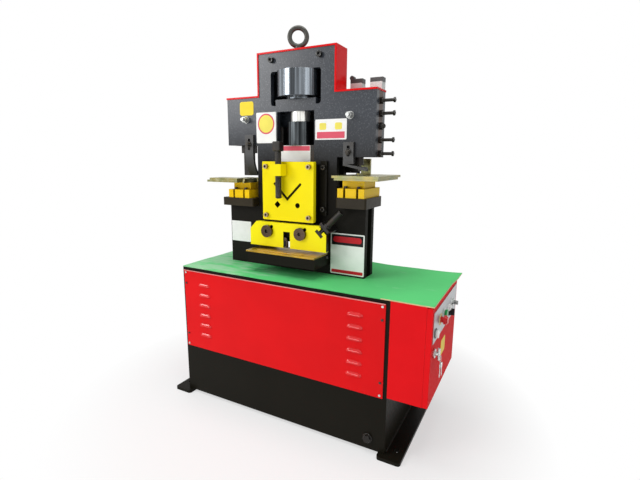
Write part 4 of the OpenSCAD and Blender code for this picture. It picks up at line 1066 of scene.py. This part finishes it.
def add_piece(
    name: str, shape: bmesh.types.BMesh, body: str, finishes: Sequence[Finish]
) -> bpy.types.Object:
    """Turn a shape into a piece that rides on a CAD body.

    Args:
        name: the piece's name.
        shape: its mesh in the shared frame, freed here.
        body: the CAD body that it moves with.
        finishes: finishes in the order of the faces' material numbers.

    Returns:
        The new object.
    """
    mesh = bpy.data.meshes.new(name)
    bmesh.ops.recalc_face_normals(shape, faces=shape.faces)
    shape.to_mesh(mesh)
    shape.free()
    for finish in finishes:
        mesh.materials.append(finish.material())
    mesh.shade_smooth()
    mesh.set_sharp_from_angle(angle=SHARP_ANGLE)
    made = bpy.data.objects.new(name, mesh)
    bpy.context.scene.collection.objects.link(made)
    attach(made, body)
    LOG.info("%s rides on %s with %d faces", name, body, len(mesh.polygons))
    return made


def rounded(left: float, right: float, low: float, high: float, radius: float, steps: int = 5) -> Outline:
    """Return the outline of a rectangle with round corners.

    Args:
        left: left edge.
        right: right edge.
        low: lower edge.
        high: upper edge.
        radius: corner radius.
        steps: segments in a corner.

    Returns:
        The points, anticlockwise.
    """
    u0, u1 = left + radius, right - radius
    v0, v1 = low + radius, high - radius
    points = []
    for quarter, (u, v) in enumerate(((u1, v1), (u0, v1), (u0, v0), (u1, v0))):
        for step in range(steps + 1):
            angle = math.pi / 2 * (quarter + step / steps)
            points.append((u + radius * math.cos(angle), v + radius * math.sin(angle)))
    return points


def disc(u: float, v: float, radius: float, sides: int = 40) -> Outline:
    """Return the outline of a circle."""
    turns = [math.tau * side / sides for side in range(sides)]
    return [(u + radius * math.cos(turn), v + radius * math.sin(turn)) for turn in turns]


def share(value: float, low: float, high: float) -> float:
    """Return how far a value lies from low to high, from 0 to 1."""
    return min(1.0, max(0.0, (value - low) / (high - low)))


def add_loft(
    shape: bmesh.types.BMesh,
    levels: Sequence[tuple[Outline, float]],
    base: Matrix,
    closed: bool = False,
    finish_number: int = 0,
) -> None:
    """Add a form that runs through outlines of the same number of points.

    Args:
        shape: the mesh to add to.
        levels: the outlines and their heights, from one end to the other.
        base: turns width, height and thickness into the shared frame.
        closed: whether the last outline joins the first; if not, both ends have caps.
        finish_number: material number of its faces.
    """
    rings = []
    for outline, height in levels:
        rings.append([shape.verts.new(base @ Vector((u, v, height))) for u, v in outline])
    faces = [] if closed else [shape.faces.new(rings[0][::-1]), shape.faces.new(rings[-1])]
    for lower, upper in zip(rings, rings[1:] + rings[:1] if closed else rings[1:]):
        for here in range(len(lower)):
            after = (here + 1) % len(lower)
            faces.append(shape.faces.new((lower[here], lower[after], upper[after], upper[here])))
    for face in faces:
        face.material_index = finish_number


def add_ring(
    shape: bmesh.types.BMesh, base: Matrix, radius: float, section: float, finish_number: int = 0
) -> None:
    """Add a ring of round wire to a shape.

    Args:
        shape: the mesh to add to.
        base: turns the ring's own frame, whose axis is Z, into the shared frame.
        radius: radius at the middle of the wire.
        section: radius of the wire.
        finish_number: material number of its faces.
    """
    wire = disc(radius, 0.0, section, WIRE_SIDES)
    add_loft(shape, [(disc(0.0, 0.0, reach), height) for reach, height in wire], base, True, finish_number)


@dataclass(frozen=True)
class Block:
    """A rectangle of one colour with round corners, placed from the head's centre line."""

    finish: Finish
    left: float
    right: float
    low: float
    high: float
    corner: float = 0.004

    def outline(self, centre: float) -> Outline:
        """Return its outline on the front of the head."""
        return rounded(centre + self.left, centre + self.right, self.low, self.high, self.corner)


@dataclass(frozen=True)
class Dot:
    """A disc of one colour, placed from the head's centre line."""

    finish: Finish
    across: float
    height: float
    radius: float

    def outline(self, centre: float) -> Outline:
        """Return its outline on the front of the head."""
        return disc(centre + self.across, self.height, self.radius)


@dataclass(frozen=True)
class SignPlate:
    """A thin plate with plain fields of colour and nothing written on it."""

    name: str
    body: str
    slot: str
    side: Side
    face: float
    layers: Sequence[tuple[Outline, Finish]]
    thickness: float = 0.0008
    field_step: float = 0.00025

    def build(self) -> None:
        """Make the plate, which is the first layer, and lay its fields on it."""
        shape = bmesh.new()
        for number, (outline, _) in enumerate(self.layers):
            back = self.face + (self.thickness / 2 if number else 0.0)
            front = self.face + self.thickness + self.field_step * number
            levels = [(outline, back), (outline, front)]
            add_loft(shape, levels, self.side.matrix(), finish_number=number)
        add_piece(self.name, shape, self.body, [finish for _, finish in self.layers])


Fields = tuple[Block | Dot, ...]

# The head's plates: each is a plain plate, then the colour fields on it
HEAD_PLATES: dict[str, Fields] = {
    "left_plate": (
        Block(WHITE_FILM, -0.193, -0.093, 1.138, 1.264),
        Dot(ROSE_FILM, -0.143, 1.217, 0.042),
        Dot(LEMON_FILM, -0.143, 1.217, 0.036),
    ),
    "right_plate": (
        Block(WHITE_FILM, 0.093, 0.230, 1.148, 1.226),
        Block(ROSE_FILM, 0.101, 0.222, 1.153, 1.178, 0.001),
        Block(LEMON_FILM, 0.112, 0.142, 1.186, 1.212, 0.006),
        Block(LEMON_FILM, 0.180, 0.210, 1.186, 1.212, 0.006),
    ),
    "corner_plate": (Block(YELLOW_FILM, -0.279, -0.207, 1.255, 1.312, 0.01),),
    "foot_plate": (
        Block(WHITE_FILM, 0.168, 0.316, 0.611, 0.780),
        Block(BLACK_FILM, 0.173, 0.311, 0.732, 0.775, 0.001),
        Block(RED_FILM, 0.180, 0.304, 0.743, 0.767, 0.011),
        Block(RED_FILM, 0.173, 0.311, 0.616, 0.629, 0.001),
    ),
    "data_plate": (Block(SILVER_FILM, -0.343, -0.234, 0.700, 0.793, 0.002),),
}
RAM_PLATE: Fields = (
    Block(WHITE_FILM, -0.070, 0.070, 1.062, 1.127, 0.001),
    Block(ROSE_FILM, -0.068, 0.068, 1.106, 1.125, 0.002),
)


@dataclass(frozen=True)
class TopMat:
    """The loose rubber mat on the base, cut round the column and hanging over at its right back corner."""

    thickness: float = 0.004
    pitch: float = 0.012
    bare_edge_x: float = 0.44
    column: tuple[float, float] = (-0.360, 0.305)
    column_half: float = 0.047
    pipe: tuple[float, float] = (0.134, 0.170)
    pipe_back: float = 0.088
    back_slope: tuple[float, float] = (0.215, 0.310)
    back_step: float = 0.014
    side_hang: float = 0.004
    overhang: float = 0.013
    curl: float = 0.005
    bulge: tuple[float, float] = (0.05, 0.14)
    flare: int = 3
    ripple: float = 0.0005
    ripple_length: float = 0.21

    def build(self) -> None:
        """Make the mat and put it in the plain one's place."""
        low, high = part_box("top_mat")
        xs = self._cuts(low.x, high.x, (*self.column, *self.pipe, *self.back_slope))
        ys = self._cuts(low.y, high.y, (-self.column_half, self.column_half, self.pipe_back))
        shape = bmesh.new()
        up = Vector((0.0, 0.0, self.thickness))
        spots = {(c, r): self._spot(x, y, low, high) for c, x in enumerate(xs) for r, y in enumerate(ys)}
        under = {key: shape.verts.new(spot) for key, spot in spots.items()}
        top = {key: shape.verts.new(spot + up) for key, spot in spots.items()}
        rims = set()
        for c, r in spots:
            if (c + 1, r + 1) in spots and not self._open(xs[c], xs[c + 1], ys[r], ys[r + 1]):
                corners = [(c, r), (c + 1, r), (c + 1, r + 1), (c, r + 1)]
                shape.faces.new([top[key] for key in corners])
                shape.faces.new([under[key] for key in reversed(corners)])
                rims ^= {frozenset(side) for side in zip(corners, corners[1:] + corners[:1])}
        for here, after in rims:
            side = shape.faces.new((under[here], under[after], top[after], top[here]))
            side.material_index = int(spots[here].x > self.bare_edge_x)
        loose = [vertex for vertex in shape.verts if not vertex.link_faces]
        bmesh.ops.delete(shape, geom=loose, context="VERTS")
        piece = add_piece("loose_mat", shape, "frame", (MAT, CUT_RUBBER))
        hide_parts("top_mat")

    def _cuts(self, low: float, high: float, marks_and_reflections: Sequence[float]) -> list[float]:
        """Return even steps from low to high that meet every mark.

        Args:
            low: the first step.
            high: the last step.
            marks_and_reflections: places that have to be steps.

        Returns:
            The steps.
        """
        stops = sorted((low, *marks_and_reflections, high))
        cuts = []
        for here, after in zip(stops, stops[1:]):
            count = max(1, round((after - here) / self.pitch))
            cuts += [here + (after - here) * step / count for step in range(count)]
        return [*cuts, high]

    def _open(self, x0: float, x1: float, y0: float, y1: float) -> bool:
        """Tell whether a cell lies in the cut round the column or the pipe.

        Args:
            x0: left side.
            x1: right side.
            y0: front side.
            y1: back side.

        Returns:
            Whether it is cut out.
        """
        x, y = (x0 + x1) / 2, (y0 + y1) / 2
        in_column = self.column[0] < x < self.column[1] and abs(y) < self.column_half
        return in_column or (self.pipe[0] < x < self.pipe[1] and 0.0 < y < self.pipe_back)

    def _spot(self, x: float, y: float, low: Vector, high: Vector) -> Vector:
        """Return the underside's point for a place on the flat mat.

        Args:
            x: place across the flat mat.
            y: place along its depth.
            low: low corner of the plain mat's box.
            high: high corner of that box.

        Returns:
            The point.
        """
        slope = share(x, *self.back_slope)
        rear = share(y, self.column_half, high.y)
        reach = share(x, self.column[1], high.x) ** self.flare
        rise = share(y, *self.bulge)
        bulge = rise * rise * (3.0 - 2.0 * rise)
        hang = self.side_hang + (self.overhang - self.side_hang) * bulge
        spot = Vector((x + hang * reach, y - self.back_step * slope * rear, low.z))
        turn = math.tau / self.ripple_length
        spot.z += self.ripple * (1.0 + math.sin(turn * x) * math.cos(turn * y))
        spot.z += self.curl * bulge * reach * reach
        return spot


@dataclass(frozen=True)
class Cabinet:
    """The welded base: tank, panels, skids, mat and small hardware."""

    weld_radius: float = 0.0045
    weld_ripple: float = 0.0035
    weld_inset: float = 0.012
    weld_sides: int = 10
    weld_low: float = 0.82
    weld_swell: float = 0.18
    weld_wander: float = 0.05
    wander_turn: float = 0.7
    highlight_height: float = 0.0013
    highlight_proud: float = 0.0003
    corner_reach: float = 0.035
    corner_screw: Colour = screen(214, 214, 210)
    side_screw: Colour = screen(60, 52, 50)

    def dress(self) -> None:
        """Finish the base's CAD nodes."""
        dress(PANEL_RED, "front_panel")
        dress(RED, "cover_panels")
        dress(BLACK, "base_frame", "skids")
        low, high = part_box("front_panel")
        heads = PanelScrews(
            "panel_screw_heads",
            self.corner_screw,
            blacked=self.side_screw,
            low_z=low.z + self.corner_reach,
            high_z=high.z - self.corner_reach,
        )
        dress(heads, "panel_screws")
        dress(BLACKED, "drain_plug")
        dress(SLATE, "power_pack")

    def build(self) -> None:
        """Lay the mat, a pale strip along the panel's top edge as a painted highlight, and weld beads where
        the tank stands on its skids.
        """
        TopMat().build()
        # A thin pale strip along the panel's top edge, a hair proud of its face: a painted highlight.
        low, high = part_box("front_panel")
        edge = high.z - self.highlight_height
        strip = [(low.x, edge), (high.x, edge), (high.x, high.z), (low.x, high.z)]
        highlight_strip = bmesh.new()
        add_loft(highlight_strip, [(strip, -high.y), (strip, -low.y + self.highlight_proud)], Side.FRONT.matrix())
        add_piece("panel_edge_highlight", highlight_strip, "frame", (PAINTED_EDGE_HIGHLIGHT,))
        low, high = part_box("base_frame")
        welds = bmesh.new()
        for x in (low.x, high.x):
            start = Vector((x, low.y + self.weld_inset, low.z))
            end = Vector((x, high.y - self.weld_inset, low.z))
            self._bead(welds, start, end)
        add_piece("skid_welds", welds, "frame", (BLACK,))

    def _bead(self, shape: bmesh.types.BMesh, start: Vector, end: Vector) -> None:
        """Add one rippled weld bead from start to end.

        Args:
            shape: the mesh to add to.
            start: where the bead starts.
            end: where it ends.
        """
        run = end - start
        turn = run.to_track_quat("Z", "Y").to_matrix().to_4x4()
        count = int(run.length / self.weld_ripple)
        levels = []
        for step in range(count + 1):
            swell = self.weld_low + self.weld_swell * abs(math.sin(math.pi * step / 2))
            swell += self.weld_wander * math.sin(step * self.wander_turn)
            ring = disc(0.0, 0.0, self.weld_radius * swell, self.weld_sides)
            levels.append((ring, run.length * step / count))
        add_loft(shape, levels, Matrix.Translation(start) @ turn)


@dataclass(frozen=True)
class ElectricBox:
    """The electric box on the right end: door, control plate, its units and the latch with keys."""

    bezel_radius: float = 0.0150
    bezel_section: float = 0.0016
    bezel_play: float = 0.0006
    collar_radius: float = 0.0215
    collar_height: float = 0.0016
    door_plate_y: float = -0.038
    door_plate_z: float = 0.391
    door_plate_half: tuple[float, float] = (0.036, 0.030)
    door_plate_corner: float = 0.01
    key_length: float = 0.031
    key_width: float = 0.009
    key_thickness: float = 0.0022
    key_pitch: float = 1.3
    key_leans: tuple[float, float] = (-0.16, 0.2)
    bow_radius: float = 0.012
    bow_sides: int = 20
    neck: float = 1.6
    teeth: tuple[tuple[float, float], ...] = ((0.4, 0.82), (1.0, 0.7), (0.5, 0.55))
    blade_inset: float = 0.0004
    loop_radius: float = 0.011
    loop_section: float = 0.0009
    loop_aside: float = 0.014
    loop_above: float = 0.004

    def dress(self) -> None:
        """Finish the box's CAD nodes."""
        dress(BOX_RED, "electric_box", "electric_door")
        dress(ALUMINIUM, "control_plate")
        dress(RED_PLASTIC, "estop_button")
        dress(GREEN_PLASTIC, "green_button")
        dress(WHITE_PLASTIC, "white_button", "pilot_lamp")
        dress(BLACK_PLASTIC, "selector_switch")
        dress(GREY_PLASTIC, "contactors")
        dress(BRIGHT, "door_latch", "key_switch")
        dress(BLACKED, "door_hinges")

    def build(self) -> None:
        """Make the bezels, the door's plain plate and the keys."""
        self._bezels()
        self._door_plate()
        self._keys()

    def _bezels(self) -> None:
        """Lay a ring round each control unit and a yellow collar under the stop button."""
        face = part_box("control_plate")[1].x
        turn = Matrix.Rotation(math.pi / 2, 4, "Y")
        rings = {"green_button": 0, "white_button": 1, "selector_switch": 1, "key_switch": 0}
        shape = bmesh.new()
        for node, finish_number in rings.items():
            middle = self._middle(node)
            low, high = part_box(node)
            clear = (high.z - low.z) / 2 + self.bezel_section + self.bezel_play
            place = Matrix.Translation((face, middle.y, middle.z))
            add_ring(shape, place @ turn, max(clear, self.bezel_radius), self.bezel_section, finish_number)
        add_piece("unit_bezels", shape, "door", (BRIGHT, BLACK_PLASTIC))
        collar = bmesh.new()
        middle = self._middle("estop_button")
        outer = disc(middle.y, middle.z, self.collar_radius)
        inner = disc(middle.y, middle.z, self.bezel_radius)
        top = face + self.collar_height
        section = [(outer, face), (outer, top), (inner, top), (inner, face)]
        add_loft(collar, section, Side.RIGHT.matrix(), closed=True)
        add_piece("stop_collar", collar, "door", (PALE_FILM,))

    def _middle(self, node: str) -> Vector:
        """Return the middle of a node's box."""
        low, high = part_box(node)
        return (low + high) / 2

    def _door_plate(self) -> None:
        """Fix a plain yellow plate to the door."""
        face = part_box("electric_door")[1].x
        half_y, half_z = self.door_plate_half
        y, z = self.door_plate_y, self.door_plate_z
        outline = rounded(y - half_y, y + half_y, z - half_z, z + half_z, self.door_plate_corner)
        layers = [(outline, YELLOW_FILM)]
        SignPlate("door_plate", "door", "yellow_paint", Side.RIGHT, face, layers).build()

    def _keys(self) -> None:
        """Hang two keys on a wire loop from the latch."""
        low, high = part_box("door_latch")
        turn = Matrix.Rotation(math.pi / 2, 4, "Y")
        aside = (low.y + high.y) / 2 + self.loop_aside
        hang = Vector((high.x + self.loop_section, aside, low.z + self.loop_above))
        shape = bmesh.new()
        add_ring(shape, Matrix.Translation(hang) @ turn, self.loop_radius, self.loop_section)
        bow = disc(0.0, -self.bow_radius, self.bow_radius, self.bow_sides)
        blade = self._blade()
        for number, lean in enumerate(self.key_leans):
            place = Matrix.Translation((hang.x, hang.y, hang.z - self.loop_radius))
            base = place @ Matrix.Rotation(lean, 4, "X") @ Side.RIGHT.matrix()
            back = self.key_thickness * (number * self.key_pitch)
            front = back + self.key_thickness
            add_loft(shape, [(bow, back), (bow, front)], base)
            add_loft(shape, [(blade, back + self.blade_inset), (blade, front - self.blade_inset)], base)
        add_piece("latch_keys", shape, "door", (BRIGHT,))

    def _blade(self) -> Outline:
        """Return the outline of a key's blade, with its teeth on one edge."""
        half = self.key_width / 2
        top = -self.bow_radius * self.neck
        tail = top - self.key_length
        blade = [(half, top), (-half, top), (-half, tail), (0.0, tail - half), (half, tail)]
        return blade + [(half * across, tail * along) for across, along in self.teeth]


@dataclass(frozen=True)
class HeadFrame:
    """The two frame plates with cover, cylinder, guides and the plates fixed to the front."""

    switch_lid_z: float = 1.369
    switch_body: Colour = screen(204, 206, 204)
    switch_lid: Colour = screen(70, 72, 72)
    bright_below_z: float = 1.35
    bright_bolt: Colour = screen(196, 198, 196)
    black_bolt: Colour = screen(40, 39, 38)

    def dress(self) -> None:
        """Finish the head's CAD nodes."""
        split = {"other": self.black_bolt, "border_axis": Axis.Z, "border": self.bright_below_z}
        bolts = Hardware("frame_fasteners", self.bright_bolt, **split)
        lids = {"lid": self.switch_lid, "lid_z": self.switch_lid_z}
        switches = SwitchBox("switch_bodies", self.switch_body, **lids)
        dress(SLATE, "front_plate", "rear_plate", "cylinder_seat")
        dress(BLACK, "plate_spacers", "rear_cover")
        dress(RED, "edge_cover")
        dress(bolts, "frame_bolts")
        dress(FORGED, "eyebolt")
        dress(BROWNED, "gibs")
        dress(BLACKED, "gib_screws", "ram_beam", "oil_pipe")
        dress(SMOOTH_BLACK, "rod_coupling")
        dress(TURNED, "cylinder_tube")
        dress(CHROME, "piston_rod")
        dress(switches, "limit_switches")

    def build(self) -> None:
        """Fix the plain plates to the front of the head and to the ram."""
        low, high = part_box("front_plate")
        centre = (low.x + high.x) / 2
        for name, fields in HEAD_PLATES.items():
            self._fix(name, "frame", -low.y, centre, fields)
        self._fix("ram_plate", "ram", -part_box("ram_beam")[0].y, centre, RAM_PLATE)

    def _fix(self, name: str, body: str, face: float, centre: float, fields: Fields) -> None:
        """Fix one plate.

        Args:
            name: the plate's name.
            body: the CAD body that it moves with.
            face: distance of the face under it in front of the frame's origin.
            centre: the head's centre line.
            fields: the plate and the colour fields on it.
        """
        layers = [(field.outline(centre), field.finish) for field in fields]
        SignPlate(name, body, "grey_plate", Side.FRONT, face, layers).build()


@dataclass(frozen=True)
class ShearStation:
    """Angle shear and flat-bar shear: yellow plates, screws, blades and the golden table."""

    thread_pitch: float = 0.003
    thread_depth: float = 0.0013
    thread_radius: float = 0.013
    thread_sides: int = 36
    steps_a_turn: int = 6
    tip: float = 0.6
    head_width: float = 0.034
    head_height: float = 0.038
    head_chamfer: float = 0.003
    head_steps: int = 3
    plate_back_y: float = -0.1
    oily_screw: Colour = screen(150, 132, 106)
    black_screw: Colour = screen(52, 50, 48)

    def dress(self) -> None:
        """Finish the shear's CAD nodes."""
        split = {"other": self.black_screw, "border_axis": Axis.Y, "border": self.plate_back_y}
        screws = Hardware("plate_screws", self.oily_screw, **split)
        dress(ANGLE_YELLOW, "angle_plate")
        dress(FLAT_YELLOW, "holddown_plate")
        dress(BLACK, "blade_block", "table_block", "keepers")
        dress(screws, "socket_screws")
        dress(OILED, "guide_screws")
        dress(BLACKED, "adjust_spindle", "adjust_bracket", "adjust_knob")
        dress(GOLD_ZINC, "shear_table")
        dress(GROUND, "moving_blade", "upper_blade", "lower_blade")

    def build(self) -> None:
        """Replace the plain hold-down screw with a threaded one."""
        low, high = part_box("holddown_screw")
        scale = (high.x - low.x) / self.head_width
        half = (high.x - low.x) / 2
        base = Matrix.Translation(((low.x + high.x) / 2, (low.y + high.y) / 2, 0.0))
        head_low = high.z - self.head_height * scale
        shape = bmesh.new()
        add_loft(shape, self._thread(self.thread_radius * scale, low.z, head_low), base)
        trim = self.head_chamfer
        outer = rounded(-half, half, -half, half, trim, self.head_steps)
        inner = [(u * (1 - trim / half), v * (1 - trim / half)) for u, v in outer]
        head = [(inner, head_low), (outer, head_low + trim), (outer, high.z - trim), (inner, high.z)]
        add_loft(shape, head, base)
        piece = add_piece("threaded_holddown", shape, "clamp_screw", (BLACKED,))
        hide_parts("holddown_screw")

    def _thread(self, radius: float, low: float, high: float) -> list[tuple[Outline, float]]:
        """Return the rings of a screw thread.

        Args:
            radius: outer radius of the thread.
            low: height of the tip.
            high: height where the head starts.

        Returns:
            The rings' outlines and heights.
        """
        rows = int((high - low) / self.thread_pitch * self.steps_a_turn)
        rings = []
        for row in range(rows + 1):
            z = low + (high - low) * row / rows
            outer = radius * min(1.0, self.tip + (z - low) / (2 * self.thread_pitch))
            ring = []
            for side in range(self.thread_sides):
                turn = side / self.thread_sides
                phase = ((z - low) / self.thread_pitch - turn) % 1.0
                reach = outer - self.thread_depth * abs(2 * phase - 1)
                ring.append((reach * math.cos(math.tau * turn), reach * math.sin(math.tau * turn)))
            rings.append((ring, z))
        return rings


@dataclass(frozen=True)
class WorkStations:
    """Punch station on the right and notching station on the left."""

    def dress(self) -> None:
        """Finish the stations' CAD nodes."""
        dress(OILY, "bolsters")
        dress(YELLOW, "die_holders")
        dress(ZINC, "support_tables", "dies")
        dress(GREY_STEEL, "stripper_right", "stripper_left")
        dress(BLACKED, "punch_holder", "notch_punch")
        dress(GROUND, "punch")


@dataclass(frozen=True)
class Lamp:
    """A rectangular studio lamp."""

    name: str
    place: Point
    aim: Point
    width: float
    height: float
    watts: float

    def build(self) -> None:
        """Hang the lamp and turn it to its aim."""
        data = bpy.data.lights.new(self.name, "AREA")
        data.shape = "RECTANGLE"
        data.size = self.width
        data.size_y = self.height
        data.energy = self.watts
        lamp = bpy.data.objects.new(self.name, data)
        lamp.location = self.place
        lamp.rotation_euler = (Vector(self.aim) - Vector(self.place)).to_track_quat("-Z", "Y").to_euler()
        bpy.context.scene.collection.objects.link(lamp)


@dataclass(frozen=True)
class Studio:
    """Pale floor, white surroundings, soft lamps and the camera at the photograph's angle."""

    world_light: float = 0.28
    floor_radius: float = 9.0
    floor_colour: Colour = (0.92, 0.92, 0.92)
    floor_lift: float = 0.55
    floor_shade: float = 0.9
    floor_clouds: Grain = Grain(3.0, 4.0)
    floor_cover: float = 0.06
    floor_roughness: float = 0.7
    floor_sides: int = 96
    fade_start: float = 0.66
    fade_end: float = 1.5
    camera_place: Point = (0.894, -1.545, 1.069)
    azimuth: float = 27.76
    look_down: float = 10.88
    roll: float = 0.44
    focal_pixels: float = 415.8
    image_width: float = 640.0
    sensor_width: float = 36.0

    def build(self) -> None:
        """Set up the studio."""
        bpy.context.scene.view_settings.view_transform = "Standard"
        self._world()
        self._floor()
        for lamp in self._lamps():
            lamp.build()
        self._camera()

    def _lamps(self) -> list[Lamp]:
        """Return the studio's lamps."""
        middle = (0.0, 0.0, 0.8)
        return [
            Lamp("key_lamp", (-2.5, -2.7, 2.3), middle, 1.5, 1.6, 58.0),
            Lamp("low_lamp", (-0.7, -3.2, 0.7), middle, 1.6, 0.8, 15.0),
            Lamp("fill_lamp", (2.8, -1.6, 1.6), middle, 1.4, 1.8, 11.0),
            Lamp("top_lamp", (0.0, -0.3, 3.4), (0.0, -0.2, 0.0), 2.4, 1.8, 52.0),
        ]

    def _world(self) -> None:
        """Light all sides evenly and show white behind the object."""
        world = bpy.data.worlds.new("white_room")
        world.use_nodes = True
        bpy.context.scene.world = world
        sheet = Sheet(world.node_tree)
        background = world.node_tree.nodes["Background"]
        sheet.feed(background.inputs["Color"], (1.0, 1.0, 1.0))
        sheet.feed(background.inputs["Strength"], sheet.seen().most(self.world_light))

    def _floor(self) -> None:
        """Lay a round floor that fades to white away from the object."""
        sheet = Skin("pale_floor")
        away = sheet.value("ShaderNodeVectorMath", {"operation": "LENGTH"}, {0: sheet.place()}, "Value")
        fade = (away.step(self.fade_start, self.fade_end) + self.floor_lift).least(1.0) * sheet.seen()
        glow = sheet.node("ShaderNodeEmission", {}, {"Color": (1.0, 1.0, 1.0), "Strength": 1.0})
        cover = self.floor_clouds.on(sheet) * self.floor_cover
        tint = sheet.mix(cover, self.floor_colour, shade(self.floor_colour, self.floor_shade))
        sheet.finish({"Base Color": tint, "Roughness": self.floor_roughness})
        blend = sheet.node("ShaderNodeMixShader", {}, {0: fade})
        sheet.tree.links.new(sheet.shader.outputs[0], blend.inputs[1])
        sheet.tree.links.new(glow.outputs[0], blend.inputs[2])
        sheet.tree.links.new(blend.outputs[0], sheet.tree.nodes["Material Output"].inputs["Surface"])
        shape = bmesh.new()
        bmesh.ops.create_circle(shape, cap_ends=True, radius=self.floor_radius, segments=self.floor_sides)
        mesh = bpy.data.meshes.new("floor")
        shape.to_mesh(mesh)
        shape.free()
        mesh.materials.append(sheet.material)
        floor = bpy.data.objects.new("floor", mesh)
        bpy.context.scene.collection.objects.link(floor)

    def _camera(self) -> None:
        """Place the camera at the photograph's view."""
        azimuth, down, roll = (math.radians(angle) for angle in (self.azimuth, self.look_down, self.roll))
        level_part = math.cos(down)
        ahead = (-math.sin(azimuth) * level_part, math.cos(azimuth) * level_part, -math.sin(down))
        forward = Vector(ahead)
        level = forward.cross(Vector((0.0, 0.0, 1.0))).normalized()
        upright = level.cross(forward)
        right = math.cos(roll) * level + math.sin(roll) * upright
        up = math.cos(roll) * upright - math.sin(roll) * level
        data = bpy.data.cameras.new("camera")
        data.sensor_width = self.sensor_width
        data.lens = self.sensor_width * self.focal_pixels / self.image_width
        camera = bpy.data.objects.new("camera", data)
        turn = Matrix((right, up, -forward)).transposed().to_4x4()
        camera.matrix_world = Matrix.Translation(self.camera_place) @ turn
        bpy.context.scene.collection.objects.link(camera)
        bpy.context.scene.camera = camera


def main() -> None:
    """Build and dress the machine from the floor up, then light it."""
    logging.basicConfig(level=logging.INFO, format="%(name)s: %(message)s")
    for assembly in (Cabinet(), ElectricBox(), HeadFrame(), ShearStation()):
        assembly.build()
        assembly.dress()
    WorkStations().dress()
    Studio().build()


if __name__ == "__main__":
    main()
